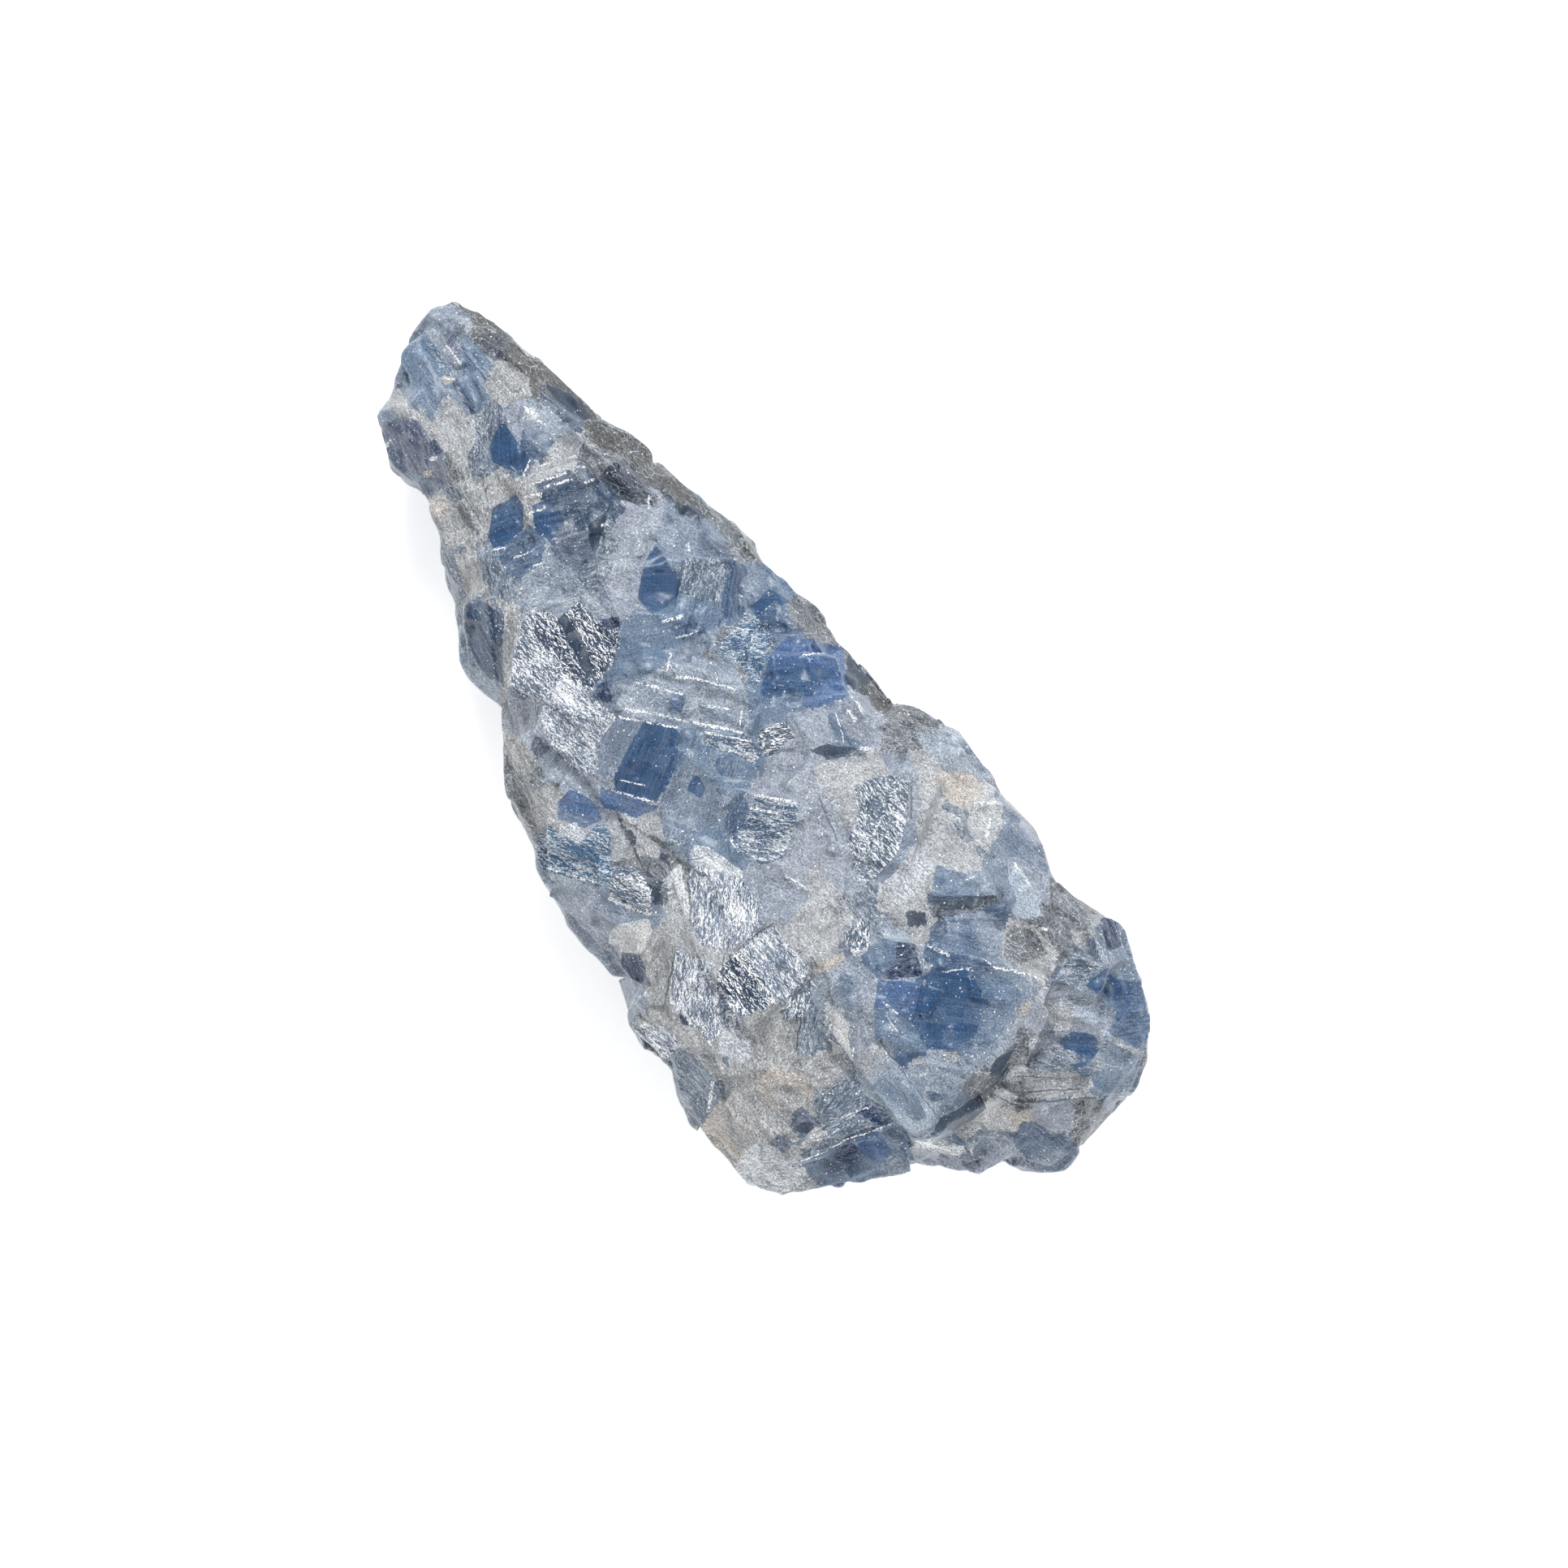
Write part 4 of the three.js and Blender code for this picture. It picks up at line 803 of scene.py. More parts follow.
# %% Slats and blue windows of the middle
SLATS = [
    ("pale", 40, [(-9.6, -1.6), (-8.4, 0.8), (-8, 4.4), (-4.8, 6.5), (-2.2, 5.6), (-0.2, 4), (-7.4, -2.7)]),
    ("denim", 40, [(-6.1, 2.2), (-5.3, 2), (-4.7, 1.2), (-5, 0.2), (-5.9, 1)]),
    ("steel", 40, [(-9.2, 5.2), (-7.4, 6.2), (-5, 6.6), (-5.2, 5), (-8, 3.4)]),
    ("grey", 35, [(-7.4, 5.2), (-6.6, 6), (-5.8, 5.6), (-6.6, 5)]),
    ("steel", -60, [(-7.4, -2.6), (-6, -1.6), (-4, -6.2), (-4.8, -6.7), (-6.8, -4.9)]),
    ("blue", -60, [(-3.8, 0.2), (-1.6, 1.2), (-0.6, 2.2), (1.7, 3.2), (2.2, 0.8), (0.2, 0), (-1, -0.5),
        (-2.6, -0.3)]),
    ("sparkle", 40, [(-2.6, 1.6), (-1.2, 2.7), (-0.2, 3.9), (1.6, 3.9), (1.7, 2.9), (0.6, 2.6),
        (-0.5, 1.7), (-1.6, 1)]),
    ("denim", -60, [(-0.4, 1.7), (0.8, 2), (1.6, 1.2), (0.9, 0.5), (-0.2, 0.7)]),
    ("deep", -60, [(-5.9, -1.4), (-4.2, 0), (-3.4, 0.1), (-2.6, -0.8), (-1.7, -1.6), (-1.3, -2.6),
        (-0.4, -4.6), (-3.2, -6.4), (-4.1, -5.6)]),
    ("royal", 30, [(-3.3, -6.5), (-2.4, -5.9), (-0.2, -4.7), (-0.1, -5.4), (-0.4, -6.2), (-1.4, -7),
        (-2.6, -8), (-4, -7.3)]),
    ("lilac", 20, [(-4.9, -6.6), (-3.6, -6.2), (-3.2, -6.6), (-4.4, -7.2)]),
    ("steel", -60, [(-1.8, -0.8), (0.2, -0.6), (2.6, 0.8), (5, -1.8), (3, -3.4), (4, -5.6), (2, -6),
        (-0.2, -4.8)]),
    ("deep", -60, [(-0.4, -0.9), (1, -0.9), (1.3, -1.8), (0.2, -2.2)]),
    ("denim", -60, [(2.6, 1.1), (4, 0.8), (5.4, -1.6), (4.4, -1.9), (3, -0.4)]),
    ("blue", 10, [(2.4, -3.2), (4.6, -1.8), (7, -2.2), (8, -3), (5, -3.4), (3.6, -3.8)]),
    ("sparkle", 40, [(3.8, 1.6), (6.4, 3.7), (8.8, 0.4), (8.4, -1.2), (6, -2), (5.3, -1.5)]),
    ("denim", 45, [(-9.9, 6.4), (-8.5, 6.2), (-8.9, 4.5), (-10.2, 4.4)]),
    ("teal", 55, [(-7.6, 9.6), (-5.6, 10.8), (-4, 8.8), (-2.6, 6.9), (-4.6, 6.8), (-6.8, 6), (-7.2, 8)]),
    ("denim", 55, [(-7, 11.8), (-5.4, 12), (-3.4, 11.9), (-3.8, 9.4), (-5.6, 10.4), (-6.8, 10)]),
    ("grey", 0, [(-6.6, 13.7), (-3.8, 14.3), (-1.6, 13.7), (-3, 12.1), (-4.6, 12.1), (-6.3, 12.7)]),
    ("royal", 55, [(-4.2, 11), (-3, 12.1), (-1, 13.6), (2.1, 11.8), (1.4, 9.4), (-1.6, 6.4), (-3, 7.6),
        (-4, 9.2)]),
    ("deep", 55, [(-3.1, 8), (-1.8, 10.4), (0, 12), (0.4, 9.6), (-1.4, 6.8), (-2.4, 6.8)]),
    ("blue", 55, [(-1.6, 6.5), (-0.2, 9.4), (0.8, 8.2), (0, 6.8), (-0.6, 5.6)]),
    ("shaded_recess", 40, [(-0.4, 13.7), (2.2, 14), (2.5, 12.5), (1, 12.2)]),
    ("umber", 0, [(2.2, 14.1), (5, 13.9), (4.8, 12.8), (2.5, 12.4)]),
    ("lilac", 30, [(0.2, 7.2), (1.8, 10), (2.6, 10.3), (4.4, 9.2), (3.8, 7.8), (3.4, 6.6), (1.6, 6.8)]),
    ("blue", 10, [(2.2, 9.6), (2.6, 10.4), (4.6, 10), (5, 9.4), (4, 9)]),
    ("lilac", 20, [(2, 12.2), (3, 12.9), (5, 12.2), (5.8, 10.6), (4.6, 9.9), (2.3, 10.2)]),
    ("crumpled", 60, [(0, 4.6), (0.6, 6.9), (2, 6.7), (2.7, 5), (1.6, 4), (0.6, 4.3)]),
    ("shaded_recess", 60, [(3.4, 6.8), (4.1, 8.4), (5.9, 10.2), (5.2, 8.6), (4.6, 7.6)]),
    ("lilac", 20, [(2, 6.4), (4.6, 6.3), (7, 5.4), (10, 4.2), (10.2, 1), (8.6, 1.2), (6.4, 3.9),
        (3.6, 1.8), (2, 3.6)]),
]

# %% Foil faces of the middle
FOIL_FACES = [
    ("frost", 20, [(4.6, 6.4), (6, 10.2), (7.4, 11), (8.4, 10.4), (8.4, 7.6), (10, 6.2), (7, 5.7)]),
    ("silver", 0, [(7.8, 8), (8.4, 10.4), (10, 11.6), (11.8, 9.7), (13.4, 8.4), (14.2, 5.4), (13.8, 3.9),
        (10.6, 5), (10, 6.4)]),
    ("silver", 0, [(8.4, 8.4), (9.4, 9.4), (12.6, 8.2), (13.2, 6.2), (11, 5.6), (10, 7.2)]),
    ("lilac", -30, [(7.4, 11), (8.2, 12.6), (10, 12.2), (12.4, 10), (11.6, 9.8), (10, 11.4), (8.6, 10.6)]),
    ("steel", -70, [(12, 9.6), (13.6, 9), (14.8, 5.4), (14.2, 4.4), (13.6, 7.6)]),
    ("frost", 0, [(13.9, 9), (16, 9.2), (17.6, 7.6), (17.4, 4.4), (16, 3.6), (14.8, 4.6), (14.6, 6.4)]),
    ("white", 0, [(14.4, 9), (16.2, 8.8), (17, 6.8), (16.8, 4.6), (14.8, 5)]),
    ("lilac", 10, [(10, 4.5), (12.6, 4), (14.4, 3.6), (14.6, 2.4), (12.6, 2.2), (10.9, 2.8)]),
    ("frost", 5, [(10.2, 2.2), (12.4, 2.1), (16, 2), (16.4, 0.4), (16.6, -3), (12.8, -2.9), (12.2, -0.4),
        (10.4, 0.6)]),
    ("frost", 0, [(12.6, -0.2), (16.4, -0.2), (16.4, -2.8), (13, -2.8)]),
    ("lilac", 40, [(8.6, 0.4), (10.2, 1), (12.2, 0), (12.8, -2.8), (9, -2.8), (7.6, -2.2), (8.4, -0.6)]),
    ("white", 10, [(3.7, -4.2), (4.8, -3.4), (7.6, -2.6), (8, -3), (5.6, -5), (4.4, -5.3)]),
    ("foil", -40, [(4.5, -5.6), (8, -3), (10, -3.1), (12.1, -4.6), (11.4, -7.4), (10, -8.3), (8.6, -8)]),
    ("white", -30, [(4.2, -5.8), (8.4, -8.1), (6.2, -8.5), (4.3, -7.4)]),
    ("foil", 0, [(12.2, -3.3), (16.5, -3.2), (17.2, -5), (17.2, -6.4), (12, -6.4)]),
    ("crumpled", 0, [(12, -6.3), (17, -6.5), (16.2, -9.4), (13.4, -9.7), (12.1, -8.6)]),
    ("frost", -30, [(6.2, -8.6), (10, -8.4), (12, -8.2), (13, -9.6), (10.8, -9), (9, -10), (7, -9.8)]),
    ("frost", 20, [(0, -4.7), (2.2, -5.8), (1.4, -6.6), (-0.6, -7.3), (-0.4, -6)]),
    ("grey", 20, [(1.2, -6.4), (2, -6), (3.6, -6), (4.6, -7.6), (6.2, -8.6), (5.6, -9.3), (2, -8.4),
        (-1, -7.8), (-0.6, -7.3)]),
    ("shaded_recess", -20, [(3, -8.4), (4.4, -7.9), (6.2, -9), (5.4, -9.3)]),
    ("shaded_recess", -5, [(-1.6, -7.4), (1.6, -7.3), (3.4, -6.2), (4, -6.6), (1, -7.9)]),
    ("frost", 20, [(1.6, -8.2), (3, -6.9), (2.2, -6.3), (0.4, -7)]),
]

# %% Near edge of the middle
NEAR_EDGE_OF_MIDDLE = [
    ("denim", 40, [(-5.2, -9), (-3.6, -8.4), (-1.9, -8.5), (-2.4, -10), (-4, -11.1), (-5, -10.5)]),
    ("royal", 40, [(-5.2, -8.8), (-3.4, -8.2), (-2.2, -8.4), (-3.2, -9.4), (-4.4, -10.6), (-5, -10.4)]),
    ("teal", 35, [(-2, -8.9), (-0.8, -8.6), (1.2, -10.2), (2.6, -11.2), (1.4, -12), (-1.6, -14.4),
        (-3.4, -14.2), (-4.3, -12), (-3, -11.6), (-1.6, -10.8)]),
    ("white", 35, [(-3.6, -11.3), (-3, -10.2), (-1.8, -10.2), (-1.6, -11), (-3.1, -11.8)]),
    ("pale", 35, [(-1.6, -14.3), (1.4, -12), (2.6, -11.6), (3, -12.2), (1.4, -13.4), (0, -14.8), (-2, -15)]),
    ("silver", 35, [(1.2, -10.2), (2.4, -8.7), (4.2, -8.8), (6, -10), (4, -11.4), (3, -11.9), (2, -10.8)]),
    ("steel", 35, [(3, -12.4), (4, -11.8), (6, -10.1), (6, -11.6), (4.6, -12.8)]),
    ("lilac", 20, [(0.4, -14.6), (2, -13), (3.4, -12.4), (5, -12.8), (5.4, -14.6), (4.2, -15.8),
        (2, -15.6)]),
    ("milk", 40, [(4.9, -12.8), (6, -10.3), (7.2, -10.8), (8, -11.4), (7.4, -12.8), (7, -13.8),
        (5.4, -13.8)]),
    ("pale", -10, [(5, -14.2), (7, -14), (10, -14.3), (11, -16), (9, -15.9), (5.4, -15.4)]),
    ("stone", -50, [(6.8, -9.6), (8.8, -9.7), (9.6, -11), (11, -12.5), (12.2, -13.7), (10, -13.4),
        (8, -12.6), (7.2, -11.4)]),
    ("inky", -15, [(6.8, -13.5), (7.6, -12.6), (8.6, -12.8), (10.2, -13.4), (9, -14.1), (7.4, -14.1)]),
    ("foil", -40, [(9.2, -10.2), (11, -9), (13, -9.5), (14.8, -11.4), (14.6, -12.7), (12, -13.1),
        (10.6, -12)]),
    ("foil", -30, [(13.2, -9.6), (16.2, -9.3), (16.8, -10.2), (16, -11), (16.4, -12.6), (14.8, -12.6)]),
    ("stone", 10, [(10.8, -16), (12, -13.7), (14, -13.3), (19.8, -12.3), (20.2, -13.4), (15.4, -14.2),
        (12, -15.4)]),
    ("foil", 20, [(12, -15.4), (13, -14.5), (15, -14.2), (15.4, -15.6), (13.6, -17), (11.8, -16.4)]),
    ("inky", 10, [(13, -13), (13.6, -12.6), (14.3, -13), (13.8, -13.3)]),
    ("white", 20, [(15.9, -11), (16.6, -10.2), (18.2, -10), (19.1, -10.8), (18.6, -11.9), (17, -12.3)]),
    ("stone", -30, [(16.8, -7.6), (19.4, -7.8), (21.8, -8.1), (22, -9.6), (20.4, -10.8), (18.6, -9.8),
        (16.8, -9.5)]),
    ("silver", -50, [(16.8, -3.6), (18.6, -4), (19.6, -5.6), (18.6, -7), (17.4, -6.8)]),
    ("slate", -35, [(18.4, -3.9), (20, -4.5), (22, -5.8), (21.4, -7.6), (20.4, -7.9), (19, -6)]),
    ("stone", -45, [(18.4, -7), (19, -6), (20.2, -7.6), (18.6, -7.9)]),
    ("slate", 0, [(15, -14.6), (16.2, -13.9), (18.6, -13.9), (20.4, -15.4), (20.8, -17), (19, -17.4),
        (17, -16.6), (15.2, -15.8)]),
]

# %% Far edge and rim
FAR_EDGE = [
    ("pale", 10, [(17, 3.4), (19, 4.6), (22, 5.2), (24, 9), (28, 9.6), (30.4, 5), (30.6, 0), (31.6, -4.6),
        (28, -5.4), (22, -5.8), (18, -4.2), (16.4, -2)]),
    ("shade", 60, [(18.3, 6.7), (20.9, 11.8), (21.5, 11.6), (20.9, 9.8), (19.5, 6.8)]),
    ("frost", 10, [(12.4, 11.6), (14.4, 12.8), (16, 12.4), (18.6, 12), (18, 10.4), (16, 9), (14, 9.2),
        (13.2, 9.6)]),
    ("blue", 45, [(16.5, 8.8), (18, 10.5), (20, 11), (19, 7.2), (17.6, 7.6)]),
    ("steel", 45, [(18, 10.4), (19.8, 12.8), (21.4, 12.3), (21, 11.8), (20, 10.4)]),
    ("dusk", 50, [(21, 11.5), (21.8, 12), (22.6, 11), (23.2, 10.2), (22, 9.6), (21, 9.8)]),
    ("steel", 20, [(17, 13.4), (18.2, 13), (19.6, 14.2), (21.8, 15.4), (20.6, 16.6), (18.4, 17),
        (13.4, 16.4), (15, 15.9), (17, 15)]),
    ("lilac", 20, [(18.2, 13), (19.6, 14.3), (22, 15.2), (23.8, 13.9), (22, 13.6)]),
    ("sky", 10, [(19.8, 13.9), (21.6, 13.9), (24, 13.1), (23.4, 11.7), (22.6, 11.4), (21.8, 12.3),
        (20.2, 12.8)]),
    ("frost", 0, [(14.2, 14.9), (15.4, 15.9), (17, 14.9), (17.7, 13), (16.4, 12.2), (14.8, 13)]),
    ("slate", 0, [(14.6, 12.4), (16.4, 12.6), (16.3, 11.9), (14.4, 11.7)]),
    ("cream", 20, [(10.6, 12.9), (11.6, 13), (13, 12.8), (14.2, 13.4), (14, 15.4), (12.2, 15.4),
        (10.8, 13.6)]),
    ("frost", 20, [(8, 12.8), (9.8, 13.8), (11, 12.9), (12.6, 11.6), (10.4, 12.2)]),
    ("pale", 50, [(7.6, 14.4), (9.2, 16.2), (12.2, 16.4), (13.6, 16.2), (11.4, 14.6), (9.6, 13.9),
        (8, 13.8)]),
    ("grey", 40, [(5, 13.2), (6.4, 15), (8, 15.6), (7.6, 14.2), (6.4, 12.4)]),
    ("grey", 10, [(22, 15.7), (23.6, 16.4), (26.2, 16.8), (27.2, 15), (26, 13.8), (24.4, 14), (22.8, 14.6)]),
    ("stone", 20, [(22.6, 11), (24.4, 12.2), (26.8, 12.4), (28, 11), (28.2, 9.5), (26.4, 9.8), (24.6, 8.6),
        (23.4, 9.8)]),
    ("grey", 20, [(23.2, 10.8), (24.6, 11.9), (26.6, 11.6), (26, 9.8), (24.8, 8.8), (23.6, 9.9)]),
    ("grey", -10, [(24.8, 12.6), (26.4, 14), (27.6, 13.2), (27.2, 12.2), (26, 12.3)]),
    ("slate", -80, [(24.4, -5.5), (27.2, -5.8), (26.9, -7.6), (26.4, -8.2), (24.8, -9), (24.2, -8)]),
    ("stone", 70, [(21.6, -6.4), (23, -5.5), (24.4, -5.5), (24.3, -7.6), (23, -8), (22, -7.6)]),
    ("slate", 75, [(26.8, -6.7), (28.6, -7), (28.2, -9), (27.7, -12.2), (26, -12.2), (26.4, -9)]),
    ("cream", 20, [(20.6, -9.7), (22.6, -8.4), (24.4, -9), (23.6, -11.2), (22.6, -12), (21, -11.7),
        (20.3, -10.8)]),
    ("stone", 20, [(21.6, -10.6), (22.8, -9.4), (24.2, -9.2), (23.4, -11.2), (22, -11.8)]),
    ("violet", 20, [(24.2, -10), (26, -9.6), (26.5, -10.4), (26.2, -11.5), (25, -11.7), (24.2, -10.9)]),
    ("shaded_recess", 20, [(25.1, -10.7), (25.9, -10), (26.4, -10.6), (25.8, -11.3), (25.1, -11.6)]),
    ("stone", -5, [(19.4, -12), (22.4, -12.2), (26.2, -12), (26.8, -13.6), (24, -13.8), (20.4, -14.3),
        (19, -13.2)]),
    ("violet", 0, [(24.8, -12.4), (26, -12.2), (26.2, -13.2), (24.9, -13.5)]),
    ("cream", 5, [(20, -14.3), (24.1, -13.8), (24.4, -16.2), (22, -17.4), (20.8, -17)]),
    ("stone", 5, [(20.4, -14.6), (24, -14.1), (24.1, -15.6), (22.4, -15.8)]),
    ("white", 60, [(24.2, -14), (26.6, -13.6), (27, -12.7), (29, -12.6), (28.6, -14.8), (27.6, -17),
        (25, -17.2), (24.3, -15.8)]),
]

# %% [markdown]
# The largest crystal is clear, so it looks deep blue, with frosted and milky ones around it.

# %% The big blue crystal and its neighbours
BIG_CRYSTAL = [
    ("denim", 45, [(19.2, 6.3), (21.6, 9.7), (23.6, 9.5), (25.2, 8.2), (24.2, 6.4), (22.2, 4.4),
        (20.6, 4.9)]),
    ("steel", 45, [(20.9, 8.4), (21.8, 9.9), (23.4, 9.7), (25.2, 8.4), (24.6, 7.8), (22.8, 8)]),
    ("steel", 45, [(24.2, 6.5), (25.6, 8.4), (27, 9.2), (28.4, 8.6), (28.2, 7.6), (28.8, 6.6), (27.6, 5.6)]),
    ("blue", 45, [(22, 4.5), (24.3, 6.8), (26.4, 8.2), (27.8, 8.2), (28.4, 6.6), (29.2, 5), (29.4, 3.2),
        (28.4, 1.6), (26.6, 0), (24.4, 0.2), (22.2, 3.1)]),
    ("denim", 45, [(22, 4.4), (24.1, 6.5), (26.6, 6.9), (28.2, 5.4), (28.8, 3.6), (28.2, 1.8), (27.3, 0.8),
        (26.6, -0.1), (24.3, 0.3), (22.2, 3.1)]),
    ("deep", 45, [(22.1, 4.3), (23.9, 6.1), (25.9, 6), (27.4, 4.6), (28.1, 3.4), (28, 1.8), (27.3, 0.9),
        (26.6, 0), (24.3, 0.4), (22.2, 3.1)]),
    ("deep", 45, [(26, 2.1), (27.4, 3.6), (28.1, 3.2), (28, 1.8), (26.9, 1.2)]),
    ("shade", 60, [(18.1, 6.9), (19.9, 9.4), (20.7, 9.2), (19.6, 7.3), (19, 6.6)]),
    ("shaded_recess", 50, [(17.5, 5.2), (18.4, 6.5), (19.2, 6), (18.6, 4.7), (17.9, 4.8)]),
    ("frost", 40, [(18.7, 4.5), (19.5, 5.5), (20.5, 4.7), (20, 4.2), (19.2, 4.3)]),
    ("denim", 20, [(20.5, 4.8), (21.2, 5.7), (22, 5.6), (22.3, 4.8), (21.8, 4), (20.9, 4.1)]),
    ("sky", 45, [(17.3, 3.6), (18.8, 4.4), (19.9, 4.1), (18.9, 3.2), (18, 2.4)]),
    ("blue", 45, [(18, 2.6), (18.9, 3.3), (20, 2.2), (20, 0.3), (18.4, 0.1), (17.9, 0.8)]),
    ("denim", 45, [(19.2, 1.2), (19.9, 2.2), (20.4, 1.2), (20.3, 0.4), (19.4, 0.3)]),
    ("inky", 50, [(18.9, 3.3), (19.9, 4.3), (20.4, 3.9), (22.1, 3.2), (20.4, 0.5), (20, 1.1), (20, 2.2)]),
    ("inky", 50, [(20, 2.2), (20.7, 2.9), (21.3, 2), (20.4, 0.5), (20, 1)]),
    ("silver", -40, [(16, 2.2), (17.3, 2), (18, 1.2), (18, 0.2), (16.6, -0.1), (16, 0.6)]),
    ("slate", 0, [(14, 3.3), (16.2, 3.4), (16.2, 2.3), (14, 2.2)]),
    ("white", 0, [(14.8, 1.1), (15.4, 1.9), (16, 1.4), (15.5, 0.9)]),
    ("violet", 0, [(16.1, 0), (18, 0.1), (17.4, -0.5), (16.7, -0.7)]),
    ("cream", -80, [(16.9, -0.4), (17.5, -0.5), (17.5, -1.6), (17.1, -3.2), (16.4, -3), (16.6, -1.6)]),
    ("grey", 0, [(15.7, -2.4), (16.8, -2.6), (16.6, -3.1), (15.8, -3.1)]),
    ("pale", 30, [(17.6, -0.6), (19.4, -0.3), (21.2, -1.5), (21.6, -2.6), (20.6, -3.4), (18.6, -3.4),
        (17.4, -2.4)]),
    ("denim", 30, [(18.1, -1.3), (19, -1.1), (20.6, -2), (20.9, -2.8), (19.6, -2.9), (18.5, -2.3)]),
    ("lilac", 10, [(19.4, -0.3), (20.6, 0.2), (21.8, -1.3), (22.3, -2), (24, -2.6), (23.8, -4.4),
        (22.2, -3.8), (21.4, -3.2), (21.8, -2.4), (21.2, -1.5)]),
    ("royal", 45, [(20.4, 0.3), (22.2, 3.1), (24.3, 0.4), (23.4, -0.1), (22.2, -0.3), (21.9, -1.3)]),
    ("blue", 30, [(23.4, -0.1), (24.3, 0.4), (26.8, 0), (26.4, -1), (25.2, -2), (24, -1.9), (22.6, -1.8),
        (22, -1.4), (22.2, -0.4)]),
    ("blue", 30, [(22.5, -0.4), (23.8, -0.1), (24.8, -0.7), (24, -1.3), (22.9, -1.5)]),
    ("denim", 30, [(22.8, -1.9), (24, -2), (24.2, -2.5), (23.4, -2.5)]),
    ("deep", 60, [(25.2, -2), (26.8, -0.1), (27, -0.2), (26.5, -1.4), (26.9, -2.3), (26, -2.4)]),
    ("pale", 30, [(26.6, -1.9), (26.6, -0.8), (27.6, 0.3), (29.5, 0.4), (29.4, -1.2), (28.8, -2),
        (27.4, -2.2)]),
    ("frost", 30, [(26.5, -1.2), (26.9, -0.6), (27.3, -0.8), (26.9, -1.5)]),
    ("frost", 40, [(27.5, 0.8), (28.1, 1.8), (28.9, 1.3), (28.2, 0.6)]),
    ("steel", 60, [(28.3, 0.6), (29, 1.4), (29.4, 2.2), (29.8, 1.4), (29.5, 0.4)]),
    ("cream", 40, [(28.2, 7.8), (28.9, 8.7), (29.5, 7.8), (29, 6.9)]),
    ("sky", 3, [(23.7, -2.6), (26, -2.4), (30.2, -2.1), (31.4, -3.4), (31, -4.8), (28.4, -5.2),
        (26.4, -5.8), (24.4, -5.2), (23.8, -4.2)]),
    ("frost", 10, [(23.7, -2.6), (24.8, -2.5), (25.8, -4.2), (24.6, -5.1), (23.8, -4.3)]),
    ("blue", 5, [(26.2, -3.2), (29, -2.7), (30.6, -3), (30.4, -4), (28, -4.6), (26.2, -5)]),
    ("milk", -20, [(18.8, -3.6), (21.4, -3.3), (22.4, -4.1), (24, -4.9), (22.6, -5.7), (21.6, -5.2),
        (20, -4.3)]),
]

# %% [markdown]
# The broad end is the most broken part: many small faces, each with its own finish.

